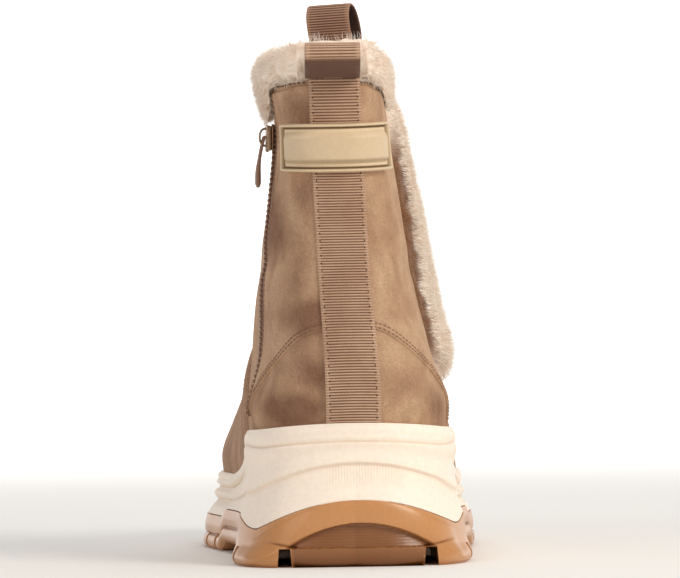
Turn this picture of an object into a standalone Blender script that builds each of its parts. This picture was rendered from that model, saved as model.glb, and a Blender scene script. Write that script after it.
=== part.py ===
# A fur-lined zip ankle boot on a chunky trainer sole: the right boot, women's size 38.
# Toe towards +Y, outer side of the foot towards +X, floor at Z = 0.
# Tables and sizes are in millimetres, with y measured from the back of the heel.
import math

import bmesh
import bpy
from mathutils import Matrix, Vector

MM = 0.001
COLLECTION = "fur_lined_boot"
SOLE_LENGTH = 285.0
BOX_MIDDLE = (-2.5, 141.0)    # the box's middle in x and y, which becomes the origin
GAP = 0.35                    # clearance between pieces that touch

# ---- the last: plan of the feather line, where the upper meets the sole ----
# name, x, y: a closed curve, anticlockwise from the heel seen from above
FEATHER_PLAN = (
    ("heel back", 0.0, 9.5),
    ("heel corner outer", 24.0, 17.0),
    ("heel outer", 35.5, 42.0),
    ("heel breast outer", 37.5, 78.0),
    ("waist outer", 39.0, 118.0),
    ("ball outer", 43.5, 160.0),
    ("little toe", 44.5, 196.0),
    ("outer toe", 36.0, 238.0),
    ("toe corner outer", 18.5, 268.0),
    ("toe tip", -6.0, 277.5),
    ("toe corner inner", -30.0, 266.0),
    ("big toe", -43.5, 234.0),
    ("ball inner", -47.5, 197.0),
    ("ball back inner", -43.5, 160.0),
    ("waist inner", -38.5, 118.0),
    ("heel breast inner", -37.5, 78.0),
    ("heel inner", -36.5, 42.0),
    ("heel corner inner", -25.0, 17.0),
)
TOE_TIP = 9                   # row of the plan at the front end

# ---- the sole: heights of its top edge, and how its side steps in and out ----
TOP_HEEL = 50.2
TOP_HEEL_CROWN = 2.6          # extra height in the middle of the heel's back
TOP_FOREFOOT = 28.0
TOP_DROP = (38.0, 158.0)      # y where the top edge leaves the heel and reaches the ball
TOE_SPRING = 9.0
SPRING_START = 222.0
ARCH_LIFT = 4.0               # the waist's clearance above the floor
ARCH_SPAN = (88.0, 148.0)
OUTSOLE_TOP = 13.5
OUTSOLE_REAR_ARCH = 11.0      # extra height of the outsole in the middle of the heel
OUTSOLE_REAR_WIDTH = 38.0
SEAT_DROP = 1.5               # the footbed's recess inside the upper's lower edge
# name, height from the outsole's top (0) to the sole's top edge (1),
# outset at the heel, outset at the ball, extra outset at the heel's two corners
MIDSOLE_LEVELS = (
    ("over the outsole", 0.00, 4.6, 6.4, 3.0),
    ("flare", 0.16, 3.2, 5.2, 2.6),
    ("lower groove", 0.34, 2.1, 3.4, 2.0),
    ("lower ridge", 0.52, 1.4, 4.0, 1.6),
    ("middle groove", 0.62, 1.4, 2.7, 1.4),
    ("upper ridge", 0.76, 2.9, 3.6, 1.2),
    ("rim groove", 0.85, 2.4, 2.7, 0.9),
    ("rim", 0.93, 2.7, 3.1, 0.6),
    ("rim edge", 1.00, 1.7, 2.2, 0.4),
)
# name, height from the floor (0) to the outsole's top (1), then the same outsets
OUTSOLE_LEVELS = (
    ("tread edge", 0.00, 6.2, 7.0, 4.6),
    ("widest", 0.14, 6.6, 7.6, 4.8),
    ("side wall", 0.55, 5.5, 7.0, 3.6),
    ("top edge", 1.00, 4.8, 6.6, 3.0),
)
INNER_FLARE = 1.3             # the sole steps out further beside the inner ball
TREAD_DEPTH = 6.0
SLOT_WIDTH = 5.0
HEEL_SLOTS_X = (-26.5, 24.5)
HEEL_SLOT_END = 84.0
CROSS_SLOTS_Y = (36.0, 62.0, 152.0, 172.0, 192.0, 212.0, 232.0, 252.0)
CROSS_SLOT_START = (33.0, 14.0)   # how far from the middle they begin, at heel and ball
CROSS_SLOT_LENGTH = 56.0

# ---- the upper: one row for each closed ring, from the feather line to the collar ----
# name, back y, back z, front y, front z, middle x, inner half, outer half,
# oval (0 the foot's plan, 1 a plain oval), follow (1 keeps to the sole's top edge)
RINGS = (
    ("feather", 9.5, 51.0, 277.5, 37.0, 0.0, 47.5, 44.5, 0.0, 1.0),
    ("rand", 7.2, 61.0, 279.5, 47.5, 0.0, 48.0, 45.2, 0.0, 1.0),
    ("bumper", 6.4, 70.0, 275.5, 59.0, -0.3, 44.6, 42.6, 0.22, 0.95),
    ("toe box", 7.0, 79.0, 263.0, 69.0, -0.8, 40.6, 39.2, 0.50, 0.8),
    ("vamp", 9.0, 88.5, 239.0, 79.5, -1.4, 37.4, 35.8, 0.72, 0.6),
    ("mid vamp", 11.5, 98.0, 208.0, 91.5, -2.0, 34.8, 32.4, 0.86, 0.4),
    ("instep", 14.2, 108.0, 178.0, 106.5, -2.5, 32.4, 29.4, 0.95, 0.22),
    ("ankle", 16.0, 120.0, 152.0, 125.0, -3.0, 29.4, 26.4, 1.0, 0.08),
    ("low shaft", 16.4, 137.0, 135.0, 145.5, -3.7, 25.8, 23.4, 1.0, 0.0),
    ("shaft", 15.4, 157.0, 126.5, 165.0, -4.4, 22.9, 20.8, 1.0, 0.0),
    ("collar", 13.6, 178.0, 122.0, 184.0, -5.0, 22.0, 18.4, 1.0, 0.0),
)
RING_FIELDS = ("name", "back_y", "back_z", "front_y", "front_z", "mid_x",
               "inner", "outer", "oval", "follow")
OVAL_BACK = 0.72              # the shaft's section is blunt at the back
OVAL_FRONT = 0.94
UPPER_WALL = 5.0              # suede, backing and the pile of the lining
UPPER_TURNS = 48
UPPER_RISES = 20
COLLAR = len(RINGS) - 1.0

# ---- trims ----
RIBBON_WIDTH = 20.3
RIBBON_THICK = 1.3
STRAP_TOP_Z = 175.0
STRAP_FOOT_Z = 54.5
# each pull loop's side view: out from the suede and up from the collar's seam
BACK_LOOP = ((1.0, 1.7), (3.6, 5.6), (6.6, 10.8), (10.4, 14.8), (14.6, 16.0), (18.0, 14.0),
             (18.4, 10.0), (15.2, 5.2), (8.6, 0.8), (1.2, -1.8))
FRONT_LOOP = ((1.0, 1.2), (3.6, 3.6), (4.8, 8.0), (4.4, 15.0), (3.8, 22.0), (4.2, 28.4),
              (6.6, 32.6), (9.8, 30.8), (11.4, 24.0), (10.6, 15.0), (8.8, 6.0),
              (5.0, 0.0), (1.4, -2.0))
BACK_LOOP_TURN = 0.0
FRONT_LOOP_TURN = 0.488
BADGE_WIDTH = 50.0
BADGE_Z = (145.5, 163.5)
BADGE_THICK = 2.4
FUR_BAND_Y = 103.0            # middle of the fur band down the outer side
FUR_BAND_WIDTH = 30.0
FUR_BAND_Z = (171.0, 66.0)
FUR_PILE = 8.0
ZIP_Y = (50.0, 58.0)          # top and bottom of the zip on the inner side
ZIP_Z = (165.0, 56.0)
ZIP_TAPE = 12.0
ZIP_TAPE_THICK = 0.7
ZIP_CHAIN = 4.6
ZIP_RISE = 1.3
SLIDER_Z = 160.0
PULL_LENGTH = 19.0
PULL_WIDTH = 6.2
PULL_REST = -2.0              # degrees off plumb as it hangs
OVERLAY_THICK = 2.0
OVERLAY_BACK = 106.0          # where its back edge meets the sole
OVERLAY_TIP = 9.0             # how far its back edge stops short of the front at the top
OVERLAY_TOP = 5.6             # ring, counted in rows, where the vamp overlay ends


# ---------------------------------------------------------------- small maths
def blend(a, b, share):
    return a + (b - a) * share


def ease(value, start, end):
    """0 before start, 1 after end, and a smooth step between."""
    share = min(max((value - start) / (end - start), 0.0), 1.0)
    return share * share * (3.0 - 2.0 * share)


def spline(p0, p1, p2, p3, share):
    """A Catmull-Rom curve between p1 and p2."""
    return 0.5 * (2.0 * p1 + (p2 - p0) * share
                  + (2.0 * p0 - 5.0 * p1 + 4.0 * p2 - p3) * share ** 2
                  + (3.0 * p1 - p0 - 3.0 * p2 + p3) * share ** 3)


def rounded(value, power):
    """A sine or cosine bent towards a rounded rectangle: power 1 is a plain oval."""
    return math.copysign(abs(value) ** power, value)


def ring_value(field, rise):
    """A column of the ring table at any height, in rows from 0 to COLLAR."""
    column = RING_FIELDS.index(field)
    row = min(int(max(rise, 0.0)), len(RINGS) - 2)
    values = [RINGS[min(max(row + step, 0), len(RINGS) - 1)][column] for step in (-1, 0, 1, 2)]
    if row == 0:
        values[0] = 2.0 * values[1] - values[2]
    if row == len(RINGS) - 2:
        values[3] = 2.0 * values[2] - values[1]
    return spline(*values, rise - row)


def plan_curve(count=720):
    """The feather line as even steps: half of them up the outer side, half back down."""
    rows = len(FEATHER_PLAN)
    dense = []
    for row in range(rows):
        around = [Vector(FEATHER_PLAN[(row + step) % rows][1:]) for step in (-1, 0, 1, 2)]
        dense.append([spline(*around, share / 24.0) for share in range(24)])
    outer = sum(dense[:TOE_TIP], []) + [dense[TOE_TIP][0]]
    inner = sum(dense[TOE_TIP:], []) + [dense[0][0]]
    points = []
    for side in (outer, inner):
        lengths = [0.0]
        for a, b in zip(side, side[1:]):
            lengths.append(lengths[-1] + (b - a).length)
        at = 0
        for step in range(count // 2):
            target = lengths[-1] * step / (count // 2)
            while lengths[at + 1] < target:
                at += 1
            share = (target - lengths[at]) / (lengths[at + 1] - lengths[at])
            points.append(side[at].lerp(side[at + 1], share))
    return points


PLAN = plan_curve()


def plan_point(turn):
    """A point of the feather line: turn 0 at the heel, 0.25 outer, 0.5 toe, 0.75 inner."""
    place = (turn % 1.0) * len(PLAN)
    at = int(place)
    return PLAN[at % len(PLAN)].lerp(PLAN[(at + 1) % len(PLAN)], place - at)


def plan_outward(turn):
    along = plan_point(turn + 0.004) - plan_point(turn - 0.004)
    return Vector((along.y, -along.x)).normalized()


def sole_top(x, y):
    """Height of the sole's top edge."""
    crown = max(0.0, 1.0 - (x / OUTSOLE_REAR_WIDTH) ** 2) * (1.0 - ease(y, 14.0, 60.0))
    return (blend(TOP_HEEL, TOP_FOREFOOT, ease(y, *TOP_DROP)) + TOP_HEEL_CROWN * crown
            + TOE_SPRING * ease(y, SPRING_START, SOLE_LENGTH + 20.0) ** 1.2 * 1.4)


def floor_lift(y):
    """Height of the tread above the floor: the waist's arch and the toe spring."""
    arch = ARCH_LIFT * ease(y, ARCH_SPAN[0] - 12.0, ARCH_SPAN[0]) * (
        1.0 - ease(y, ARCH_SPAN[1] - 12.0, ARCH_SPAN[1]))
    return arch + TOE_SPRING * 1.5 * ease(y, SPRING_START, SOLE_LENGTH + 20.0) ** 1.2


def outsole_top(x, y):
    """Height of the outsole's top edge, with its arch over the middle of the heel."""
    rear = 1.0 - ease(y, 18.0, 40.0)
    across = max(0.0, 1.0 - (abs(x) / OUTSOLE_REAR_WIDTH) ** 2)
    return OUTSOLE_TOP + floor_lift(y) * 0.8 + OUTSOLE_REAR_ARCH * rear * across


# ---------------------------------------------------------------- the upper's surface
def upper_point(turn, rise):
    """A point of the upper's outer face, in millimetres."""
    row = {field: ring_value(field, rise) for field in RING_FIELDS[1:]}
    flat = plan_point(turn)
    back, front = FEATHER_PLAN[0][2], FEATHER_PLAN[TOE_TIP][2]
    foot_x = flat.x / (RINGS[0][7] if flat.x > 0 else RINGS[0][6])
    foot_y = (flat.y - back) / (front - back)
    angle = 2.0 * math.pi * (turn % 1.0)
    power = blend(OVAL_FRONT, OVAL_BACK, 0.5 + 0.5 * math.cos(angle))
    oval_x = rounded(math.sin(angle), power)
    oval_y = 0.5 - 0.5 * rounded(math.cos(angle), power)
    share_x = blend(foot_x, oval_x, row["oval"])
    share_y = blend(foot_y, oval_y, row["oval"])
    y = blend(row["back_y"], row["front_y"], share_y)
    half = row["outer"] if share_x > 0 else row["inner"]
    straight = blend(row["back_z"], row["front_z"], share_y)
    reach = min(max((y - back) / (front - back), 0.0), 1.0)
    x = row["mid_x"] + share_x * half
    sag = sole_top(x, y) - blend(sole_top(99.0, back), sole_top(0.0, front), reach)
    return Vector((x, y, straight + sag * row["follow"]))


def upper_normal(turn, rise):
    """The outward direction of the upper's outer face."""
    step = 0.01
    low, high = max(rise - step, 0.0), min(rise + step, COLLAR)
    around = upper_point(turn + 0.003, rise) - upper_point(turn - 0.003, rise)
    upward = upper_point(turn, high) - upper_point(turn, low)
    return around.cross(upward).normalized()


def rise_at(turn, z):
    """The ring on which the upper has height z at this turn."""
    low, high = 0.0, COLLAR
    for _ in range(30):
        middle = 0.5 * (low + high)
        if upper_point(turn, middle).z < z:
            low = middle
        else:
            high = middle
    return 0.5 * (low + high)


def place_at(side, y, z):
    """Turn and rise of the point at y and z on the outer (+1) or inner (-1) side."""
    low, high = (0.0, 0.5) if side > 0 else (1.0, 0.5)
    for _ in range(30):
        middle = 0.5 * (low + high)
        if upper_point(middle, rise_at(middle, z)).y < y:
            low = middle
        else:
            high = middle
    turn = 0.5 * (low + high)
    return turn, rise_at(turn, z)


def along_ring(turn, rise, distance):
    """The turn reached by walking a distance round the ring."""
    steps = 12
    for _ in range(steps):
        span = (upper_point(turn + 0.001, rise) - upper_point(turn - 0.001, rise)).length
        turn += distance / steps * 0.002 / span
    return turn


# ---------------------------------------------------------------- mesh makers
def to_world(point):
    """From the tables' millimetres to metres about the middle of the box."""
    return Vector((point.x - BOX_MIDDLE[0], point.y - BOX_MIDDLE[1], point.z)) * MM


def material(name, colour, roughness, metallic=0.0):
    made = bpy.data.materials.new(name)
    made.use_nodes = True
    shader = made.node_tree.nodes["Principled BSDF"]
    shader.inputs["Base Color"].default_value = (*colour, 1.0)
    shader.inputs["Roughness"].default_value = roughness
    shader.inputs["Metallic"].default_value = metallic
    return made


def add_object(name, mesh, finish, collection):
    part = bpy.data.objects.new(name, mesh)
    part.data.materials.append(finish)
    collection.objects.link(part)
    return part


def ladder_cap(shape, ring):
    """Closes a ring that starts at the heel with rungs from its outer to its inner side."""
    count = len(ring)
    shape.faces.new((ring[0], ring[1], ring[-1]))
    for at in range(1, count // 2 - 1):
        shape.faces.new((ring[at], ring[at + 1], ring[count - at - 1], ring[count - at]))
    toe = count // 2
    shape.faces.new((ring[toe - 1], ring[toe], ring[toe + 1]))


def loft(name, rings, finish, collection, ladder=False):
    """A skin over closed rings of points, one quad between each two neighbours."""
    shape = bmesh.new()
    rows = [[shape.verts.new(to_world(point)) for point in ring] for ring in rings]
    for lower, upper in zip(rows, rows[1:]):
        for at in range(len(lower)):
            beside = (at + 1) % len(lower)
            shape.faces.new((lower[at], lower[beside], upper[beside], upper[at]))
    for ring in (rows[0], rows[-1]):
        if ladder:
            ladder_cap(shape, ring)
        else:
            shape.faces.new(ring)
    bmesh.ops.recalc_face_normals(shape, faces=shape.faces)
    mesh = bpy.data.meshes.new(name)
    shape.to_mesh(mesh)
    shape.free()
    mesh.shade_smooth()
    return add_object(name, mesh, finish, collection)


def sheet(name, grid, thickness, finish, collection):
    """An open sheet through a grid of points, thickened outwards."""
    shape = bmesh.new()
    rows = [[shape.verts.new(to_world(point)) for point in row] for row in grid]
    for lower, upper in zip(rows, rows[1:]):
        for at in range(len(lower) - 1):
            shape.faces.new((lower[at], lower[at + 1], upper[at + 1], upper[at]))
    mesh = bpy.data.meshes.new(name)
    shape.to_mesh(mesh)
    shape.free()
    mesh.shade_smooth()
    part = add_object(name, mesh, finish, collection)
    thicken(part, thickness, 1.0)
    return part


def thicken(part, thickness, offset):
    wall = part.modifiers.new("wall", "SOLIDIFY")
    wall.thickness = thickness * MM
    wall.offset = offset
    wall.use_even_offset = True


def strip_on_upper(name, stations, section, finish, collection):
    """A solid strip laid on the upper: each station is turn, rise, width and height scale."""
    rings = []
    for turn, rise, wide, high in stations:
        ring = []
        for across, out in section:
            here = along_ring(turn, rise, across * wide)
            lift = out if out <= GAP else GAP + (out - GAP) * high
            ring.append(upper_point(here, rise) + upper_normal(here, rise) * lift)
        rings.append(ring)
    return loft(name, rings, finish, collection)


def flat_section(width, low, high, columns):
    """A rectangle with several points along its two long sides."""
    across = [blend(-0.5 * width, 0.5 * width, at / columns) for at in range(columns + 1)]
    return [(a, low) for a in across] + [(a, high) for a in reversed(across)]


# ---------------------------------------------------------------- the pieces
def sole_ring(levels, at, turns, bottom, top):
    """One level of a sole: the feather line moved out, at a share of the local height."""
    _, height, heel_out, ball_out, corner_out = levels[at]
    ring = []
    for step in range(turns):
        turn = step / turns
        flat = plan_point(turn)
        outward = plan_outward(turn)
        wider = INNER_FLARE if flat.x < 0.0 else 1.0
        reach = blend(heel_out, ball_out * wider, ease(flat.y, 90.0, 180.0))
        corner = max(0.0, -outward.y) * abs(outward.x) * 2.0
        place = flat + outward * (reach + corner * corner_out)
        z = blend(bottom(place.x, place.y), top(place.x, place.y), height)
        ring.append(Vector((place.x, place.y, z)))
    return ring


def make_outsole(finish, collection, cutters):
    rings = [sole_ring(OUTSOLE_LEVELS, at, 64, lambda x, y: floor_lift(y), outsole_top)
             for at in range(len(OUTSOLE_LEVELS))]
    sole = loft("outsole", rings, finish, collection, ladder=True)
    depth = 2.0 * (TREAD_DEPTH + 0.5)
    for number, x in enumerate(HEEL_SLOTS_X):
        length = HEEL_SLOT_END + 40.0
        cut_slot(sole, f"heel_slot_{number}", (SLOT_WIDTH, length, depth),
                 (x, HEEL_SLOT_END - 0.5 * length, 0.0), cutters)
    for number, y in enumerate(CROSS_SLOTS_Y):
        height = floor_lift(y)
        start = CROSS_SLOT_START[0] if y < HEEL_SLOT_END else CROSS_SLOT_START[1]
        for side in (-1, 1):
            middle = side * (0.5 * CROSS_SLOT_LENGTH + start)
            cut_slot(sole, f"cross_slot_{number}_{side}",
                     (CROSS_SLOT_LENGTH, SLOT_WIDTH - 1.0, depth), (middle, y, height), cutters)
    return sole


def cut_slot(sole, name, size, middle, cutters):
    """A box cut out of the tread."""
    shape = bmesh.new()
    bmesh.ops.create_cube(shape, size=1.0)
    for vert in shape.verts:
        moved = Vector(value * length for value, length in zip(vert.co, size))
        vert.co = to_world(moved + Vector(middle))
    mesh = bpy.data.meshes.new(name)
    shape.to_mesh(mesh)
    shape.free()
    cutter = bpy.data.objects.new(name, mesh)
    cutter.display_type = "WIRE"
    cutter.hide_render = True
    cutters.objects.link(cutter)
    cut = sole.modifiers.new(name, "BOOLEAN")
    cut.operation = "DIFFERENCE"
    cut.solver = "MANIFOLD"
    cut.object = cutter


def make_midsole(finish, collection):
    turns = 64
    rings = [sole_ring(MIDSOLE_LEVELS, at, turns,
                       lambda x, y: outsole_top(x, y) + GAP,
                       sole_top) for at in range(len(MIDSOLE_LEVELS))]
    for inset, drop in ((1.5, 0.0), (6.0, 0.0), (7.5, SEAT_DROP)):
        ring = []
        for step in range(turns):
            flat = plan_point(step / turns) - plan_outward(step / turns) * inset
            ring.append(Vector((flat.x, flat.y, sole_top(flat.x, flat.y) - drop)))
        rings.append(ring)
    return loft("midsole", rings, finish, collection, ladder=True)


def make_insole(finish, collection):
    """The footbed, inside the upper's lower edge."""
    turns = 48
    rings = []
    for inset, height in ((8.6, 0.3), (8.2, 1.2), (8.2, 2.6), (9.6, 3.8)):
        ring = []
        for step in range(turns):
            flat = plan_point(step / turns) - plan_outward(step / turns) * inset
            z = sole_top(flat.x, flat.y) - SEAT_DROP + height
            ring.append(Vector((flat.x, flat.y, z)))
        rings.append(ring)
    return loft("insole", rings, finish, collection, ladder=True)


def make_upper(finish, collection):
    shape = bmesh.new()
    rows = []
    for level in range(UPPER_RISES + 1):
        rise = COLLAR * level / UPPER_RISES
        ring = [upper_point(at / UPPER_TURNS, rise) for at in range(UPPER_TURNS)]
        rows.append([shape.verts.new(to_world(point + Vector((0.0, 0.0, GAP)))) for point in ring])
    for lower, higher in zip(rows, rows[1:]):
        for at in range(UPPER_TURNS):
            beside = (at + 1) % UPPER_TURNS
            shape.faces.new((lower[at], lower[beside], higher[beside], higher[at]))
    mesh = bpy.data.meshes.new("upper")
    shape.to_mesh(mesh)
    shape.free()
    mesh.shade_smooth()
    upper = add_object("upper", mesh, finish, collection)
    thicken(upper, UPPER_WALL, -1.0)
    return upper


def overlay_edge(side, rise):
    """Where the vamp overlay's back edge crosses a ring: low and far back, high and forward."""
    tip = ring_value("front_y", OVERLAY_TOP) - OVERLAY_TIP
    y = blend(OVERLAY_BACK, tip, (rise / OVERLAY_TOP) ** 1.3)
    low, high = (0.0, 0.5) if side > 0 else (1.0, 0.5)
    for _ in range(30):
        middle = 0.5 * (low + high)
        if upper_point(middle, rise).y < y:
            low = middle
        else:
            high = middle
    return 0.5 * (low + high)


def make_vamp_overlay(finish, collection):
    columns = 36
    rows = 12
    grid = []
    for row in range(rows + 1):
        rise = blend(0.16, OVERLAY_TOP, row / rows)
        outer, inner = overlay_edge(1, rise), overlay_edge(-1, rise)
        line = []
        for column in range(columns + 1):
            turn = blend(outer, inner, column / columns)
            gap = Vector((0.0, 0.0, GAP)) + upper_normal(turn, rise) * 0.8
            line.append(upper_point(turn, rise) + gap)
        grid.append(line)
    return sheet("vamp_overlay", grid, OVERLAY_THICK, finish, collection)


def make_back_strap(finish, collection):
    stations = []
    count = 18
    for at in range(count + 1):
        z = blend(STRAP_TOP_Z, STRAP_FOOT_Z, at / count)
        stations.append((0.0, rise_at(0.0, z), 1.0, 1.0))
    section = flat_section(RIBBON_WIDTH, GAP, GAP + RIBBON_THICK, 6)
    return strip_on_upper("back_strap", stations, section, finish, collection)


def make_badge(finish, collection):
    low = GAP + RIBBON_THICK + GAP
    stations = []
    for at in range(5):
        z = blend(BADGE_Z[1], BADGE_Z[0], at / 4.0)
        stations.append((0.0, rise_at(0.0, z), 1.0, 1.0))
    section = flat_section(BADGE_WIDTH, low, low + BADGE_THICK, 10)
    return strip_on_upper("badge", stations, section, finish, collection)


def make_fur_band(finish, collection):
    """The band of pile between the quarter and the front panel, round at its foot."""
    count = 16
    stations = []
    for at in range(count + 1):
        share = at / count
        z = blend(*FUR_BAND_Z, share)
        turn, rise = place_at(1, FUR_BAND_Y - 6.0 * share, z)
        end = max(0.0, (share - 0.86) / 0.14)
        scale = math.sqrt(max(0.0, 1.0 - end * end * 0.92))
        stations.append((turn, rise, scale, scale))
    half = 0.5 * FUR_BAND_WIDTH
    base = [(blend(-half, half, at / 6.0), GAP) for at in range(7)]
    crown = [(half * math.cos(math.radians(angle)),
              GAP + FUR_PILE * math.sin(math.radians(angle)) ** 0.8)
             for angle in (22, 45, 68, 90, 112, 135, 158)]
    return strip_on_upper("fur_band", stations, base + crown, finish, collection)


def collar_droop(turn):
    """How far the rolled pile hangs below the collar's edge, outside the suede."""
    side = abs(math.sin(2.0 * math.pi * turn))
    return blend(0.4, 10.0, side ** 1.5)


def loop_press(turn):
    """1 where a pull loop flattens the pile against the collar, 0 elsewhere."""
    here = upper_point(turn, COLLAR)
    press = 0.0
    for loop_turn in (BACK_LOOP_TURN, FRONT_LOOP_TURN):
        apart = (here - upper_point(loop_turn, COLLAR)).length
        press = max(press, 1.0 - ease(apart, 0.5 * RIBBON_WIDTH + 1.0, 0.5 * RIBBON_WIDTH + 5.0))
    return press


def make_fur_collar(finish, collection):
    """The pile rolled over the collar's edge, all round."""
    rings = []
    inside = -UPPER_WALL - 1.2
    for step in range(UPPER_TURNS):
        turn = step / UPPER_TURNS
        edge = upper_point(turn, COLLAR) + Vector((0.0, 0.0, GAP))
        outward = upper_normal(turn, COLLAR)
        outward = Vector((outward.x, outward.y, 0.0)).normalized()
        droop = collar_droop(turn)
        top = blend(15.2, 12.4, abs(math.sin(2.0 * math.pi * turn)))
        lean = upper_point(turn, COLLAR - 0.5) - upper_point(turn, COLLAR)
        slant = lean.dot(outward) / -lean.z * droop
        free = (
            (inside, 1.2), (inside - 0.4, 5.5), (inside + 1.2, 10.5), (inside + 4.6, top - 1.2),
            (0.8, top), (4.4, top - 2.2), (6.9, top - 5.6), (7.8, 3.0),
            (7.6 + slant, 1.6 - droop), (5.6 + slant, -droop - 0.8),
            (2.0 + slant, 0.4 - droop), (0.7 + slant, 1.6 - droop), (0.6, 0.4),
        )
        pressed = free[:4] + (
            (0.0, top - 0.6), (2.2, 12.6), (3.5, 9.6), (3.3, 7.4), (2.4, 5.8),
            (1.6, 4.8), (0.9, 4.0), (0.0, 3.2), (-0.8, 2.4),
        )
        share = loop_press(turn)
        section = [(blend(a, c, share), blend(b, d, share))
                   for (a, b), (c, d) in zip(free, pressed)]
        rings.append([edge + outward * out + Vector((0.0, 0.0, up)) for out, up in section])
    shape = bmesh.new()
    rows = [[shape.verts.new(to_world(point)) for point in ring] for ring in rings]
    for at, lower in enumerate(rows):
        higher = rows[(at + 1) % len(rows)]
        for corner in range(len(lower)):
            beside = (corner + 1) % len(lower)
            shape.faces.new((lower[corner], lower[beside], higher[beside], higher[corner]))
    bmesh.ops.recalc_face_normals(shape, faces=shape.faces)
    mesh = bpy.data.meshes.new("fur_collar")
    shape.to_mesh(mesh)
    shape.free()
    mesh.shade_smooth()
    return add_object("fur_collar", mesh, finish, collection)


def ribbon_loop(name, turn, side_view, finish, collection):
    """A ribbon bent along its side view, out from and up over the collar's seam."""
    edge = upper_point(turn, COLLAR)
    outward = upper_normal(turn, COLLAR)
    outward = Vector((outward.x, outward.y, 0.0)).normalized()
    across = Vector((-outward.y, outward.x, 0.0)) * 0.5 * RIBBON_WIDTH
    count = len(side_view)
    grid = []
    for row in range(count - 1):
        around = [Vector(side_view[min(max(row + step, 0), count - 1)]) for step in (-1, 0, 1, 2)]
        for share in (0.0, 0.5):
            out, up = spline(*around, share)
            place = edge + outward * out + Vector((0.0, 0.0, up))
            grid.append([place - across, place + across])
    out, up = side_view[-1]
    place = edge + outward * out + Vector((0.0, 0.0, up))
    grid.append([place - across, place + across])
    loop = sheet(name, grid, RIBBON_THICK, finish, collection)
    loop.modifiers["wall"].offset = 0.0
    return loop


def make_zip(finish, collection):
    stations = []
    count = 20
    for at in range(count + 1):
        share = at / count
        turn, rise = place_at(-1, blend(*ZIP_Y, share), blend(*ZIP_Z, share))
        stations.append((turn, rise, 1.0, 1.0))
    tape, chain = 0.5 * ZIP_TAPE, 0.5 * ZIP_CHAIN
    section = ((-tape, GAP), (-chain, GAP), (chain, GAP), (tape, GAP),
               (tape, GAP + ZIP_TAPE_THICK), (chain, GAP + ZIP_TAPE_THICK), (chain, GAP + ZIP_RISE),
               (-chain, GAP + ZIP_RISE), (-chain, GAP + ZIP_TAPE_THICK),
               (-tape, GAP + ZIP_TAPE_THICK))
    return strip_on_upper("zip", stations, section, finish, collection)


def slider_frame():
    """Where the slider sits: across the zip, up along it and away from the boot."""
    share = (SLIDER_Z - ZIP_Z[0]) / (ZIP_Z[1] - ZIP_Z[0])
    turn, rise = place_at(-1, blend(*ZIP_Y, share), SLIDER_Z)
    below = place_at(-1, blend(*ZIP_Y, share + 0.05), SLIDER_Z + 0.05 * (ZIP_Z[1] - ZIP_Z[0]))
    away = upper_normal(turn, rise)
    upward = (upper_point(turn, rise) - upper_point(*below)).normalized()
    across = upward.cross(away).normalized()
    upward = away.cross(across).normalized()
    frame = Matrix((across, upward, away)).transposed().to_4x4()
    frame.translation = upper_point(turn, rise) + away * (GAP + ZIP_RISE + GAP)
    return frame


def box_part(size, middle):
    """A box as a fresh bmesh, in millimetres."""
    shape = bmesh.new()
    bmesh.ops.create_cube(shape, size=1.0)
    for vert in shape.verts:
        vert.co = Vector(value * length for value, length in zip(vert.co, size)) + Vector(middle)
    return shape


def join_boxes(name, boxes, frame, finish, collection, cutters):
    """Boxes in a local frame, united into one solid."""
    whole = None
    for number, (size, middle) in enumerate(boxes):
        shape = box_part(size, middle)
        for vert in shape.verts:
            vert.co = to_world(frame @ vert.co)
        mesh = bpy.data.meshes.new(name if number == 0 else f"{name}_{number}")
        shape.to_mesh(mesh)
        shape.free()
        if number == 0:
            whole = add_object(name, mesh, finish, collection)
            continue
        helper = bpy.data.objects.new(f"{name}_{number}", mesh)
        helper.display_type = "WIRE"
        helper.hide_render = True
        cutters.objects.link(helper)
        union = whole.modifiers.new(helper.name, "BOOLEAN")
        union.operation = "UNION"
        union.object = helper
    return whole


def make_slider(frame, finish, collection, cutters):
    """The slider's body with the bridge that the pull hangs from."""
    boxes = (
        ((7.2, 10.0, 1.8), (0.0, 0.0, 0.9)),
        ((1.6, 1.2, 2.6), (0.0, 3.4, 2.8)),
        ((1.6, 1.2, 2.6), (0.0, -2.4, 2.8)),
        ((1.6, 7.0, 0.9), (0.0, 0.5, 4.05)),
    )
    return join_boxes("zip_slider", boxes, frame, finish, collection, cutters)


def make_pull(frame, finish, collection, cutters):
    """The pull: a bar under the bridge, two arms and a tab, hung from the hinge."""
    hang = frame @ Matrix.Translation((0.0, 0.5, 2.7))
    upright = hang.to_3x3()
    down = Vector((0.0, 0.0, -1.0))
    across = upright @ Vector((1.0, 0.0, 0.0))
    across = (across - down * across.dot(down)).normalized()
    away = down.cross(across).normalized()
    if away.dot(upright @ Vector((0.0, 0.0, 1.0))) < 0.0:
        away = -away
    rest = Matrix((across, -down, away)).transposed().to_4x4()
    rest.translation = hang.translation
    rest = rest @ Matrix.Rotation(math.radians(PULL_REST), 4, "X")
    arm = 6.4
    tab = PULL_LENGTH - arm
    boxes = (
        ((5.4, 0.9, 0.9), (0.0, 0.0, 0.0)),
        ((1.2, arm + 0.5, 1.1), (2.2, 0.25 - 0.5 * arm, 0.0)),
        ((1.2, arm + 0.5, 1.1), (-2.2, 0.25 - 0.5 * arm, 0.0)),
        ((PULL_WIDTH, tab, 1.4), (0.0, -arm - 0.5 * tab + 0.6, 0.0)),
    )
    pull = join_boxes("zip_pull", boxes, rest, finish, collection, cutters)
    hinge = bpy.data.objects.new("pull_hinge", None)
    hinge.location = to_world(hang.translation)
    collection.objects.link(hinge)
    pull.parent = hinge
    pull.matrix_parent_inverse = Matrix.Translation(-hinge.location)
    return pull


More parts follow.
